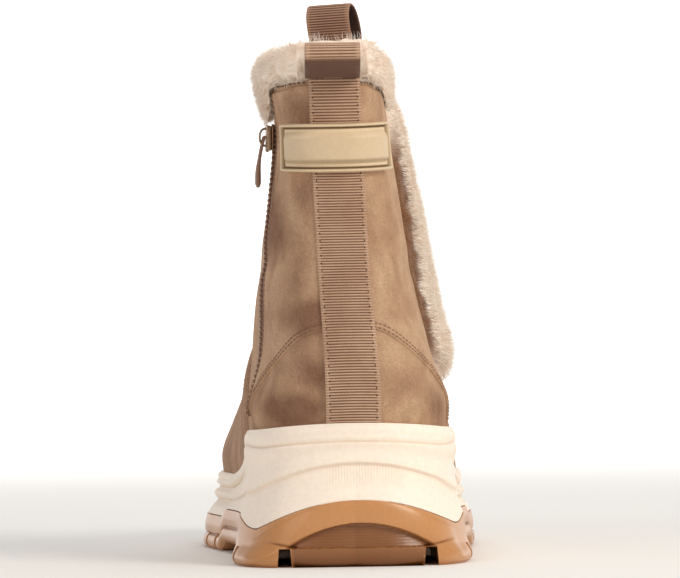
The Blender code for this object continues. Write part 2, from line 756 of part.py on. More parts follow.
def build():
    for old in list(bpy.data.objects):
        bpy.data.objects.remove(old, do_unlink=True)
    parts = bpy.data.collections.new(COLLECTION)
    cutters = bpy.data.collections.new("cutters")
    bpy.context.scene.collection.children.link(parts)
    bpy.context.scene.collection.children.link(cutters)

    make_outsole(material("gum_rubber", (0.54, 0.27, 0.11), 0.55), parts, cutters)
    make_midsole(material("cream_foam", (1.0, 0.86, 0.68), 0.6), parts)
    make_insole(material("pile_footbed", (0.7, 0.52, 0.38), 0.9), parts)
    make_upper(material("suede", (0.45, 0.27, 0.15), 0.9), parts)
    make_vamp_overlay(material("suede_vamp", (0.43, 0.26, 0.14), 0.9), parts)
    make_fur_collar(material("pile_collar", (0.74, 0.58, 0.45), 0.95), parts)
    make_fur_band(material("pile_band", (0.74, 0.57, 0.43), 0.95), parts)
    make_back_strap(material("ribbon_strap", (0.43, 0.28, 0.17), 0.8), parts)
    make_badge(material("soft_badge", (0.6, 0.45, 0.28), 0.5), parts)
    make_zip(material("zip_tape", (0.3, 0.19, 0.12), 0.7), parts)
    frame = slider_frame()
    make_slider(frame, material("slider_metal", (0.55, 0.5, 0.45), 0.3, 1.0), parts, cutters)
    make_pull(frame, material("pull_rubber", (0.22, 0.13, 0.08), 0.6), parts, cutters)

    ribbon = material("ribbon_loops", (0.43, 0.28, 0.18), 0.8)
    ribbon_loop("back_loop", BACK_LOOP_TURN, BACK_LOOP, ribbon, parts)
    ribbon_loop("front_loop", FRONT_LOOP_TURN, FRONT_LOOP, ribbon.copy(), parts)


build()
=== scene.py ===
# Looks of a fur-lined suede ankle boot on a chunky trainer sole: the right boot.
# Tables are in millimetres, y from the back of the heel; toe +Y, outer side +X, floor at Z = 0.
import math

import bmesh
import bpy
import numpy as np
from mathutils import Matrix, Vector


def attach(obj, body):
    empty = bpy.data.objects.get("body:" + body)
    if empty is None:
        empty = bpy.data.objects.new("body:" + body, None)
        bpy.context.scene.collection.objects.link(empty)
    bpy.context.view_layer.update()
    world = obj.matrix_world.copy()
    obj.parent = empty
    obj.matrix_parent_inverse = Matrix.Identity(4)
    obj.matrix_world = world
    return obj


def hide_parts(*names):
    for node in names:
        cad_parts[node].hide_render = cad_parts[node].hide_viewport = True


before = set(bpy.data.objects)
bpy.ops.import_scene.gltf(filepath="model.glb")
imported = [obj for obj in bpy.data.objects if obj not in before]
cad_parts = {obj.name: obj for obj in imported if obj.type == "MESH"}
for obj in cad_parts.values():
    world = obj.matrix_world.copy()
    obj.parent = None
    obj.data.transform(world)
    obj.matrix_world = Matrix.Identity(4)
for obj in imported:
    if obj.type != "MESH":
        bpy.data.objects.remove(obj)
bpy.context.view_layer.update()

mm = 0.001
tableMiddle = np.array([-2.5, 141.0, 0.0])    # what the tables call the middle of the box
up = np.array([0.0, 0.0, 1.0])
fullTurn = 2.0 * math.pi

lastShape = {
    "collarSpread": (1.9, 181.0, 12.0),    # how much the inner side opens, at what z, over what height
    "flankHollow": (82.0, 26.0, 90.0, 40.0, 3.4),    # y, width, z, height and depth behind the fur band
    "outerFlank": (0.2, 0.7), "innerFlank": (0.3, 0.8),    # shares of the half width where these grow in
    "plan": (              # the feather line from above: name, x, y, anticlockwise from the heel
        ("heel back", 0.0, 9.5), ("heel corner outer", 24.0, 17.0), ("heel outer", 35.5, 42.0),
        ("heel breast outer", 37.5, 78.0), ("waist outer", 39.0, 118.0), ("ball outer", 43.5, 160.0),
        ("little toe", 44.5, 196.0), ("outer toe", 36.0, 238.0), ("toe corner outer", 18.5, 268.0),
        ("toe tip", -6.0, 277.5), ("toe corner inner", -30.0, 266.0), ("big toe", -43.5, 234.0),
        ("ball inner", -47.5, 197.0), ("ball back inner", -43.5, 160.0), ("waist inner", -38.5, 118.0),
        ("heel breast inner", -37.5, 78.0), ("heel inner", -36.5, 42.0), ("heel corner inner", -25.0, 17.0)),
    "toeTip": 9,
    "rings": (             # name, back y, z, front y, z, middle x, inner, outer half, oval, follow
        ("feather", 9.5, 51.0, 277.5, 37.0, 0.0, 47.5, 44.5, 0.0, 1.0),
        ("rand", 7.2, 61.0, 279.5, 47.5, 0.0, 48.0, 45.2, 0.0, 1.0),
        ("bumper", 6.4, 70.0, 275.5, 59.0, -0.3, 44.6, 42.6, 0.22, 0.95),
        ("toe box", 7.0, 79.0, 263.0, 69.0, -0.8, 40.6, 39.2, 0.50, 0.8),
        ("vamp", 9.0, 88.5, 239.0, 79.5, -1.4, 37.4, 35.8, 0.72, 0.6),
        ("mid vamp", 11.5, 98.0, 208.0, 91.5, -2.0, 34.8, 32.4, 0.86, 0.4),
        ("instep", 14.2, 108.0, 178.0, 106.5, -2.5, 32.4, 29.4, 0.95, 0.22),
        ("ankle", 16.0, 120.0, 152.0, 125.0, -3.0, 29.4, 26.4, 1.0, 0.08),
        ("low shaft", 16.4, 137.0, 135.0, 145.5, -3.7, 25.8, 23.4, 1.0, 0.0),
        ("shaft", 15.4, 157.0, 126.5, 165.0, -4.4, 22.9, 20.8, 1.0, 0.0),
        ("collar", 13.6, 178.0, 122.0, 184.0, -5.0, 22.0, 18.4, 1.0, 0.0)),
    "ovalBack": 0.72,
    "ovalFront": 0.94,
}
ringTable = np.array([ring[1:] for ring in lastShape["rings"]])
collarRise = len(ringTable) - 1.0

soleShape = {
    # the top of the foam: heights at the heel and forefoot, the drop between them, and a crown under the heel
    "topHeel": 50.2, "topForefoot": 28.0, "topDrop": (38.0, 158.0),
    "topCrown": 2.6, "crownFade": (14.0, 60.0),
    "toeSpring": 9.0, "springSpan": (222.0, 305.0), "springPower": 1.2, "topSpring": 1.4, "floorSpring": 1.5,
    "archLift": 4.0, "archStart": (76.0, 88.0), "archEnd": (136.0, 148.0),
    # where rubber meets foam: an arch across the back of the heel, and a lobe at each of its sides
    "outsoleTop": 13.5, "followFloor": 0.8, "rearArch": 11.0, "rearFade": (18.0, 40.0), "rearWidth": 38.0,
    "archMiddle": 1.5, "lobe": (46.0, 14.0, 4.4), "lobeSide": (20.0, 36.0),
    "rim": 2.3, "rimSpan": (70.0, 120.0), "innerFlare": 1.3, "flareSpan": (90.0, 180.0), "gap": 0.35,
    # share of the height, outset at the heel, at the ball, and extra at the heel's corners
    "midsoleLevels": ((0.00, 4.6, 6.4, 3.0), (0.16, 3.2, 5.2, 2.6), (0.34, 2.1, 3.4, 2.0),
                      (0.52, 1.4, 4.0, 1.6), (0.62, 1.4, 2.7, 1.4), (0.76, 2.9, 3.6, 1.2),
                      (0.85, 2.6, 2.9, 0.9), (0.93, 2.7, 3.1, 0.6), (1.00, 1.7, 2.2, 0.4)),
    "outsoleLevels": ((0.00, 6.2, 7.0, 4.6), (0.14, 6.6, 7.6, 4.8),
                      (0.55, 5.5, 7.0, 3.6), (1.00, 4.8, 6.6, 3.0)),
}


def ease(value, start, end):    # 0 before start, 1 after end, smooth between
    share = within((np.asarray(value, float) - start) / (end - start))
    return share * share * (3.0 - 2.0 * share)


def fade(value, start, end):    # 1 before start, 0 after end
    return 1.0 - ease(value, start, end)


def blend(a, b, share):
    return a + (b - a) * share


def bell(value, width):
    return np.exp(-(np.asarray(value) / width) ** 2)


def within(values):    # keeps between 0 and 1
    return np.clip(values, 0.0, 1.0)


def together(*values):    # numbers and arrays brought to one shape
    return np.broadcast_arrays(*(np.asarray(value, float) for value in values))


def lengthsOf(path):    # how far along a path each of its points is
    return np.concatenate(([0.0], np.cumsum(np.linalg.norm(np.diff(path, axis=0), axis=1))))


def catmull(p0, p1, p2, p3, share):
    return 0.5 * (2.0 * p1 + (p2 - p0) * share + (2.0 * p0 - 5.0 * p1 + 4.0 * p2 - p3) * share ** 2
                  + (3.0 * p1 - p0 - 3.0 * p2 + p3) * share ** 3)


def throughTable(table, at):    # a smooth curve through rows of place and value
    xs, ys = np.array(table, float).T
    slopes = np.gradient(ys, xs)
    at = np.clip(at, xs[0], xs[-1])
    row = np.clip(np.searchsorted(xs, at, "right") - 1, 0, len(xs) - 2)
    span = xs[row + 1] - xs[row]
    t = (at - xs[row]) / span
    return ((2 * t ** 3 - 3 * t ** 2 + 1) * ys[row] + (t ** 3 - 2 * t ** 2 + t) * span * slopes[row]
            + (3 * t ** 2 - 2 * t ** 3) * ys[row + 1] + (t ** 3 - t ** 2) * span * slopes[row + 1])


def ripple(points, size, seed):    # smooth unevenness, about -1 to 1, the same on every run
    draw = np.random.default_rng(seed)
    total = 0.0
    for _ in range(7):
        direction = draw.normal(size=3)
        direction /= np.linalg.norm(direction)
        wave = fullTurn / (size * draw.uniform(0.7, 1.7))
        total = total + np.sin(points @ direction * wave + draw.uniform(0.0, fullTurn))
    return total / 4.5    # seven waves seldom add up to more


def planCurve(count=720, steps=24):    # the feather line in even steps, half of them on each side
    rows = np.array([point[1:] for point in lastShape["plan"]])
    total, toe = len(rows), lastShape["toeTip"]
    shares = np.arange(steps)[:, None] / steps
    dense = [catmull(*(rows[(row + step) % total] for step in (-1, 0, 1, 2)), shares)
             for row in range(total)]
    even = []
    for half in (np.vstack(dense[:toe] + [dense[toe][:1]]), np.vstack(dense[toe:] + [dense[0][:1]])):
        lengths = lengthsOf(half)
        targets = lengths[-1] * np.arange(count // 2) / (count // 2)
        even.append(np.stack([np.interp(targets, lengths, half[:, axis]) for axis in (0, 1)], axis=-1))
    return np.vstack(even)


plan = planCurve()


def planPoint(turn):    # turn 0 at the heel, 0.25 outer, 0.5 toe, 0.75 inner
    place = (np.asarray(turn, float) % 1.0) * len(plan)
    at = np.floor(place).astype(int)
    share = (place - at)[..., None]
    return plan[at % len(plan)] * (1.0 - share) + plan[(at + 1) % len(plan)] * share


def planOutward(turn, step=0.004):
    along = planPoint(turn + step) - planPoint(turn - step)
    out = np.stack([along[..., 1], -along[..., 0]], axis=-1)
    return out / np.linalg.norm(out, axis=-1, keepdims=True)


def toeSpring(y):
    return ease(y, *soleShape["springSpan"]) ** soleShape["springPower"]


def soleTop(x, y):
    s = soleShape
    crown = np.maximum(0.0, 1.0 - (x / s["rearWidth"]) ** 2) * fade(y, *s["crownFade"])
    return (blend(s["topHeel"], s["topForefoot"], ease(y, *s["topDrop"])) + s["topCrown"] * crown
            + s["toeSpring"] * toeSpring(y) * s["topSpring"])


def floorLift(y):    # how far the sole is off the floor: under the arch and the toe
    s = soleShape
    arch = s["archLift"] * ease(y, *s["archStart"]) * fade(y, *s["archEnd"])
    return arch + s["toeSpring"] * s["floorSpring"] * toeSpring(y)


def outsoleTop(x, y):
    s = soleShape
    across = np.maximum(0.0, 1.0 - (np.abs(x - s["archMiddle"]) / s["rearWidth"]) ** 2)
    lobeY, lobeWide, lobeHigh = s["lobe"]
    lobe = lobeHigh * bell(y - lobeY, lobeWide) * ease(np.abs(x), *s["lobeSide"])
    arch = s["rearArch"] * fade(y, *s["rearFade"]) * across
    return s["outsoleTop"] + floorLift(y) * s["followFloor"] + arch + lobe


def rounded(value, power):
    return np.sign(value) * np.abs(value) ** power


def upperPoints(turn, rise):    # the upper's outer face
    turn, rise = together(turn, rise)
    padded = np.vstack((2 * ringTable[0] - ringTable[1], ringTable, 2 * ringTable[-1] - ringTable[-2]))
    row = np.clip(np.floor(rise).astype(int), 0, len(ringTable) - 2)
    here = catmull(padded[row], padded[row + 1], padded[row + 2], padded[row + 3], (rise - row)[..., None])
    backY, backZ, frontY, frontZ, midX, inner, outer, oval, follow = np.moveaxis(here, -1, 0)
    flat = planPoint(turn)
    back, front = lastShape["plan"][0][2], lastShape["plan"][lastShape["toeTip"]][2]
    footX = flat[..., 0] / np.where(flat[..., 0] > 0, ringTable[0][6], ringTable[0][5])
    footY = (flat[..., 1] - back) / (front - back)
    angle = fullTurn * (turn % 1.0)
    power = blend(lastShape["ovalFront"], lastShape["ovalBack"], 0.5 + 0.5 * np.cos(angle))
    shareX = blend(footX, rounded(np.sin(angle), power), oval)
    shareY = blend(footY, 0.5 - 0.5 * rounded(np.cos(angle), power), oval)
    y = blend(backY, frontY, shareY)
    x = midX + shareX * np.where(shareX > 0, outer, inner)
    # the rings sag with the top of the sole, less the higher they are
    wayOut = 99.0    # an x past the crown under the heel
    reach = within((y - back) / (front - back))
    sag = soleTop(x, y) - blend(soleTop(wayOut, back), soleTop(0.0, front), reach)
    z = blend(backZ, frontZ, shareY) + sag * follow
    atY, wide, atZ, tall, depth = lastShape["flankHollow"]
    x = x - depth * bell(y - atY, wide) * bell(z - atZ, tall) * ease(shareX, *lastShape["outerFlank"])
    spread, spreadZ, spreadTall = lastShape["collarSpread"]
    x = x - spread * bell(z - spreadZ, spreadTall) * ease(-shareX, *lastShape["innerFlank"])
    return np.stack([x, y, z], axis=-1)


def surfaceSteps(turn, rise):    # the two directions along the upper, per turn and per rise
    aside, above = 0.003, 0.01
    low, high = rise - above, np.minimum(rise + above, collarRise)
    around = (upperPoints(turn + aside, rise) - upperPoints(turn - aside, rise)) / (2.0 * aside)
    upward = (upperPoints(turn, high) - upperPoints(turn, low)) / (high - low)[..., None]
    return around, upward


def unit(vectors):
    return vectors / np.maximum(np.linalg.norm(vectors, axis=-1, keepdims=True), 1e-9)


def upperNormals(turn, rise):
    return unit(np.cross(*surfaceSteps(*together(turn, rise))))


def bisect(test, low, high, halvings=26):    # where a test turns from true to false
    for _ in range(halvings):
        middle = 0.5 * (low + high)
        under = test(middle)
        low, high = np.where(under, middle, low), np.where(under, high, middle)
    return 0.5 * (low + high)


def riseAt(turn, z):
    turn, z = together(turn, z)
    return bisect(lambda rise: upperPoints(turn, rise)[..., 2] < z, -0.4, collarRise)


def turnAt(side, y, z):    # on the outer (+1) or inner (-1) side; inner turns are negative
    y, z = together(y, z)
    return bisect(lambda turn: upperPoints(turn, riseAt(turn, z))[..., 1] < y, 0.0, 0.5 * side)


def alongRing(turn, rise, distance, steps=8, aside=0.001):
    turn, rise, distance = together(turn, rise, distance)
    for _ in range(steps):
        span = np.linalg.norm(upperPoints(turn + aside, rise) - upperPoints(turn - aside, rise), axis=-1)
        turn = turn + distance / steps * (2.0 * aside) / span
    return turn


nap = {
    # x and z of a patch brushed the dark way, half its width and height, and its strength
    "patches": ((-27.0, 126.0, 5.0, 13.0, 0.8), (-17.0, 140.0, 5.0, 9.0, 0.5), (-15.0, 92.0, 10.0, 7.0, 0.9),
                (-14.0, 70.0, 8.0, 7.0, 0.7), (-22.0, 58.0, 12.0, 7.0, 0.9), (-20.0, 105.0, 5.0, 9.0, 0.4),
                (-16.0, 168.0, 8.0, 9.0, 0.5), (31.0, 58.0, 5.0, 8.0, 0.7), (19.0, 66.0, 6.0, 6.0, 0.4),
                (16.0, 96.0, 7.0, 9.0, 0.35), (14.0, 128.0, 4.0, 12.0, 0.25), (-40.0, 40.0, 8.0, 14.0, 0.5)),
    "fade": (60.0, 95.0),    # the y over which the patches fade out
}


def napField(points):
    total = np.zeros(points.shape[:-1])
    for x, z, wide, tall, strength in nap["patches"]:
        patch = strength * bell(points[..., 0] - x, wide) * bell(points[..., 2] - z, tall)
        total = np.maximum(total, patch)
    return total * fade(points[..., 1], *nap["fade"])


creases = {
    # name, turn, half width in turns, rise, half width in rises, depth in mm (minus is a ridge)
    "rows": (("flex trough", 0.50, 0.130, 6.05, 0.30, 1.5), ("flex ridge", 0.50, 0.120, 6.75, 0.34, -1.0),
             ("upper trough", 0.49, 0.100, 7.45, 0.28, 0.9), ("inner ankle", 0.80, 0.060, 6.4, 0.40, 1.0),
             ("outer ankle", 0.17, 0.050, 6.2, 0.42, 0.7), ("inner tuck", 0.93, 0.035, 5.4, 0.40, 0.5),
             ("outer tuck", 0.075, 0.030, 5.6, 0.42, 0.5), ("toe break", 0.50, 0.150, 3.7, 0.30, 0.7),
             ("outer heel", 0.16, 0.075, 1.2, 1.5, 1.3), ("outer ball", 0.33, 0.080, 0.9, 1.8, 2.2)),
    "wave": 0.32, "waveSize": 34.0,    # slow unevenness of stretched suede
    # no creases near the strap's middle, the foot and the collar: turns, rises, rises
    "strapClear": (0.02, 0.05), "footClear": (-0.4, 0.9), "collarClear": (9.2, 9.9),
    # how much higher the edge stands at the heel, over which rises and turns
    "heelHigh": 1.3, "heelRises": (9.3, 10.0), "heelTurns": (0.07, 0.14),
}


def suedePoints(turn, rise, lift=0.0):    # the suede's face with its creases, lifted outwards
    turn, rise = together(turn, rise)
    c = creases
    base = upperPoints(turn, rise)
    give = c["wave"] * ripple(base, c["waveSize"], 5)
    for _, atTurn, wide, atRise, tall, depth in c["rows"]:
        apart = (turn - atTurn + 0.5) % 1.0 - 0.5
        give = give - depth * bell(apart, wide) * bell(rise - atRise - 1.4 * apart, tall)
    strapSide = np.abs((turn + 0.5) % 1.0 - 0.5)
    give = give * ease(strapSide, *c["strapClear"]) * ease(rise, *c["footClear"])
    give = give * fade(rise, *c["collarClear"])
    moved = base + upperNormals(turn, rise) * (give + lift)[..., None]
    moved[..., 2] += c["heelHigh"] * ease(rise, *c["heelRises"]) * fade(strapSide, *c["heelTurns"])
    return moved


def seamOffset(turn, rise, distance):    # a line beside a seam, to its left as it runs
    along = unit(np.gradient(upperPoints(turn, rise), axis=0))
    around, upward = surfaceSteps(turn, rise)
    aside = np.cross(unit(np.cross(around, upward)), along) * distance

    def dot(first, second):
        return (first * second).sum(-1)

    # the step aside, told in turns and rises, which are not square to each other
    wide, skew, tall = dot(around, around), dot(around, upward), dot(upward, upward)
    awayWide, awayTall = dot(aside, around), dot(aside, upward)
    whole = wide * tall - skew ** 2
    return (turn + (awayWide * tall - awayTall * skew) / whole,
            rise + (awayTall * wide - awayWide * skew) / whole)


def evenPath(turn, rise, step=1.5):    # the same line on the upper, in even steps
    lengths = lengthsOf(upperPoints(turn, rise))
    at = np.linspace(0.0, lengths[-1], max(3, int(lengths[-1] / step)))
    return np.interp(at, lengths, turn), np.interp(at, lengths, rise)


def gridFaces(rows, columns, wrap=False, first=0):
    at = np.arange(rows - 1)[:, None] * columns + first
    column = np.arange(columns if wrap else columns - 1)[None, :]
    beside = (column + 1) % columns
    return np.stack([at + column, at + beside, at + columns + beside, at + columns + column],
                    axis=-1).reshape(-1, 4)


def makePiece(name, points, faces, material, values=None, sharp=None):    # points in mm, fields by name
    mesh = bpy.data.meshes.new(name)
    mesh.from_pydata(((points.reshape(-1, 3) - tableMiddle) * mm).tolist(), [],
                     [list(map(int, face)) for face in faces])
    count = len(mesh.vertices)
    for key, given in (values or {}).items():    # one number for all, or one number or vector for each point
        given = np.asarray(given, float)
        isVector = given.size == 3 * count
        field = mesh.attributes.new(key, "FLOAT_VECTOR" if isVector else "FLOAT", "POINT")
        whole = given if given.size > 1 else np.full(count, given)
        field.data.foreach_set("vector" if isVector else "value", whole.ravel())
    mesh.shade_smooth()
    if sharp:
        mesh.set_sharp_from_angle(angle=math.radians(sharp))
    piece = bpy.data.objects.new(name, mesh)
    bpy.context.scene.collection.objects.link(piece)
    if material:
        mesh.materials.append(material)
    return piece


def faceOutwards(piece):
    shape = bmesh.new()
    shape.from_mesh(piece.data)
    bmesh.ops.recalc_face_normals(shape, faces=shape.faces)
    shape.to_mesh(piece.data)
    shape.free()


def joinRing(first, second):    # faces between two closed rings
    return np.stack([first, np.roll(first, -1), np.roll(second, -1), second], axis=-1)


def slab(name, top, bottom, material, values=None, wrap=False, sharp=50.0, under=None):
    # a closed sheet between two grids of the same size; under holds the bottom's fields where they differ
    rows, columns = top.shape[:2]
    count = rows * columns
    faces = [gridFaces(rows, columns, wrap), gridFaces(rows, columns, wrap, count)[:, ::-1]]
    index = np.arange(count).reshape(rows, columns)
    edges = [index[0], index[-1, ::-1]] if wrap else [
        np.concatenate((index[0], index[1:, -1], index[-1, -2::-1], index[-2:0:-1, 0]))]
    for edge in edges:
        beside = np.roll(edge, -1)
        faces.append(np.stack([edge, edge + count, beside + count, beside], axis=-1))
    both = {}
    for key, given in (values or {}).items():
        halves = (given, (under or values)[key])
        if np.ndim(given):
            given = np.concatenate([half.reshape(count, -1) for half in halves])
        both[key] = given
    piece = makePiece(name, np.concatenate((top.reshape(-1, 3), bottom.reshape(-1, 3))),
                      np.concatenate(faces), material, both, sharp)
    faceOutwards(piece)
    return piece


edgeRound = 0.9    # mm of a sheet's edge that roll over
rollShares = np.array([0.0, 0.25, 0.6, 1.0])


def edgeSteps(count, length, roll=edgeRound):    # even shares, with close ones near both ends
    near = rollShares * roll / length
    inside = np.linspace(1.8 * roll / length, 1.0 - 1.8 * roll / length, count)
    return np.concatenate((near, inside, 1.0 - near[::-1]))


def edgeRoll(steps, length, roll=edgeRound):    # how far the rolled edge has come up, 0 to 1
    inside = within(np.minimum(steps, 1.0 - steps) * length / roll)
    return np.sqrt(within(1.0 - (1.0 - inside) ** 2))


def finishPiece(piece, body="boot", stands=()):
    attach(piece, body)
    if stands:
        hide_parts(*stands)
    return piece


def addNode(tree, kind, inputs=None, stops=(), **settings):
    # an input is a value, the socket that feeds it or the node whose first output does;
    # stops are a ramp's places and colours
    node = tree.nodes.new(kind)
    for key, value in settings.items():
        setattr(node, key, value)
    for key, value in (inputs or {}).items():
        if isinstance(value, bpy.types.Node):
            value = value.outputs[0]
        if isinstance(value, bpy.types.NodeSocket):
            tree.links.new(value, node.inputs[key])
        else:
            node.inputs[key].default_value = value
    for _ in stops[2:]:
        node.color_ramp.elements.new(0.5)
    for at, (place, code) in enumerate(stops):
        node.color_ramp.elements[at].position = place
        node.color_ramp.elements[at].color = colour(code)
    return node


def colour(code):    # sRGB hex to linear
    parts = [int(code[at:at + 2], 16) / 255.0 for at in (1, 3, 5)]
    return tuple(c / 12.92 if c <= 0.04045 else ((c + 0.055) / 1.055) ** 2.4 for c in parts) + (1.0,)


def newMaterial(name, fields=(), **sockets):    # also gives the place on the piece, then the named fields
    made = bpy.data.materials.new(name)
    made.use_nodes = True
    tree = made.node_tree
    shader = tree.nodes["Principled BSDF"]
    for key, value in sockets.items():
        shader.inputs[key.replace("_", " ")].default_value = value
    place = addNode(tree, "ShaderNodeTexCoord").outputs["Object"]
    read = [addNode(tree, "ShaderNodeAttribute", attribute_name=field).outputs["Fac"] for field in fields]
    return made, tree, shader, place, *read


def mottle(tree, tone, place, size, stops, share=0.8, detail=2.0, stretch=(1.0, 1.0, 1.0)):
    # darkens a tone in patches of a real size in mm
    stretched = addNode(tree, "ShaderNodeMapping", {"Vector": place, "Scale": stretch})
    noise = addNode(tree, "ShaderNodeTexNoise", {"Vector": stretched, "Scale": 1000.0 / size,
                                                 "Detail": detail})
    shade = addNode(tree, "ShaderNodeValToRGB", {"Fac": noise}, stops)
    return addNode(tree, "ShaderNodeMix", {0: share, 6: tone, 7: shade}, data_type="RGBA",
                   blend_type="MULTIPLY").outputs[2]


def relief(tree, shader, place, size, depth, strength, detail=2.0, stretch=(1.0, 1.0, 1.0)):
    # a fine surface of a real grain size and depth in mm
    stretched = addNode(tree, "ShaderNodeMapping", {"Vector": place, "Scale": stretch})
    grain = addNode(tree, "ShaderNodeTexNoise", {"Vector": stretched, "Scale": 1000.0 / size,
                                                 "Detail": detail})
    bump = addNode(tree, "ShaderNodeBump", {"Height": grain, "Strength": strength, "Distance": depth * mm})
    tree.links.new(bump.outputs[0], shader.inputs["Normal"])


def suedeMaterial(name, light, middle, dark):
    # split cowhide, sanded: no gloss, a nap that shows dark where it is brushed the other way
    made, tree, shader, place, nap = newMaterial(
        name, ("nap",), Roughness=0.95, Sheen_Weight=0.12, Sheen_Roughness=0.45, Sheen_Tint=colour("#e8c8b0"),
        Specular_IOR_Level=0.12)
    drift = addNode(tree, "ShaderNodeMapping", {"Vector": place, "Scale": (1.0, 1.0, 0.75)})
    clouds = addNode(tree, "ShaderNodeTexNoise", {"Vector": drift, "Scale": 1000.0 / 17.0, "Detail": 3.5,
                                                  "Distortion": 0.6})
    edges = addNode(tree, "ShaderNodeMapRange", {"Value": clouds, "From Min": 0.30, "From Max": 0.70,
                                                 "To Min": 0.40, "To Max": -0.10})
    brushed = addNode(tree, "ShaderNodeMath", {0: edges, 1: nap}, operation="ADD")
    tone = addNode(tree, "ShaderNodeValToRGB", {"Fac": brushed},
                   ((0.10, light), (0.35, middle), (0.85, dark)))
    tone = mottle(tree, tone, place, 6.0, ((0.30, "#e4e1df"), (0.70, "#ffffff")), detail=3.5,
                  stretch=(1.0, 1.0, 0.8))
    tone = mottle(tree, tone, place, 0.8, ((0.25, "#d8d3d0"), (0.75, "#ffffff")))
    tree.links.new(tone, shader.inputs["Base Color"])
    relief(tree, shader, place, 0.55, 0.22, 0.45, detail=3.0)    # fibres drawn coarser than real
    return made


def pileMaterial(name):
    # modacrylic faux fur: matt strands, paler at their tips, brown where the backing shows through, and
    # painted shade along the band's rear edge and by the collar seam
    made, tree, shader, place, along, each, brownAndShade = newMaterial(
        name, ("along", "tone", "brownAndShade"), Roughness=0.9, Sheen_Weight=0.9, Sheen_Roughness=0.6,
        Sheen_Tint=colour("#fff4ea"), Specular_IOR_Level=0.15)
    length = addNode(tree, "ShaderNodeValToRGB", {"Fac": along},
                     ((0.0, "#f3e0cf"), (0.35, "#fff1e2"), (0.85, "#fffbf4")))
    tone = mottle(tree, length, place, 5.0, ((0.32, "#efe1d4"), (0.58, "#ffffff")), detail=3.0)
    strand = addNode(tree, "ShaderNodeValToRGB", {"Fac": each}, ((0.0, "#f1e9e0"), (1.0, "#ffffff")))
    tone = addNode(tree, "ShaderNodeMix", {0: 0.8, 6: tone, 7: strand}, data_type="RGBA",
                   blend_type="MULTIPLY").outputs[2]
    # painted shade: the same brown also darkens the pile where shadow falls along the band's rear edge and by
    # the collar seam
    tone = addNode(tree, "ShaderNodeMix", {0: brownAndShade, 6: tone, 7: colour("#7d4e24")},
                   data_type="RGBA").outputs[2]
    tree.links.new(tone, shader.inputs["Base Color"])
    return made


def ribbonMaterial(name, ridge, groove, shaded):
    # polyester grosgrain: thick weft cords under fine warp threads, a slight silky sheen; painted shade
    # darkens the grooves between cords, deepest on faces turned from the light
    made, tree, shader, place, paintedGrooveShade = newMaterial(name, ("groove",), Roughness=0.62, Sheen_Weight=0.1,
                                                    Specular_IOR_Level=0.3)
    warp = (3.0, 3.0, 0.6)
    # painted shade: the groove field darkens the ribbon towards the groove colour, and on to the shaded
    # colour
    tone = addNode(tree, "ShaderNodeValToRGB", {"Fac": paintedGrooveShade},
                   ((0.20, ridge), (0.80, groove), (1.0, shaded)))
    tone = mottle(tree, tone, place, 0.5, ((0.30, "#d8d0ca"), (0.70, "#ffffff")), stretch=warp)
    tone = mottle(tree, tone, place, 14.0, ((0.35, "#e8deda"), (0.62, "#ffffff")), share=0.7)    # handling
    tree.links.new(tone, shader.inputs["Base Color"])
    relief(tree, shader, place, 0.45, 0.12, 0.4, stretch=warp)
    return made


def mouldedMaterial(name, light, dark, grain, depth, shadeTone="", **sockets):
    # a moulded foam, rubber or soft plastic: even colour with a slow drift, and a fine skin; with a shade
    # tone, painted shade darkens it in its grooves, recesses and undercuts
    made, tree, shader, place = newMaterial(name, **sockets)
    drift = addNode(tree, "ShaderNodeTexNoise", {"Vector": place, "Scale": 1000.0 / 45.0, "Detail": 2.0})
    tone = addNode(tree, "ShaderNodeValToRGB", {"Fac": drift}, ((0.40, dark), (0.60, light)))
    tone = mottle(tree, tone, place, 1.6, ((0.35, "#f8f5f2"), (0.65, "#ffffff")), share=0.6)
    if shadeTone:
        # painted shade, read from each piece's field
        paintedShade = addNode(tree, "ShaderNodeAttribute", attribute_name="paintedShade").outputs["Fac"]
        tone = addNode(tree, "ShaderNodeMix", {0: paintedShade, 6: tone, 7: colour(shadeTone)},
                       data_type="RGBA").outputs[2]
    tree.links.new(tone, shader.inputs["Base Color"])
    relief(tree, shader, place, grain, depth, 0.3, detail=3.0)
    return made


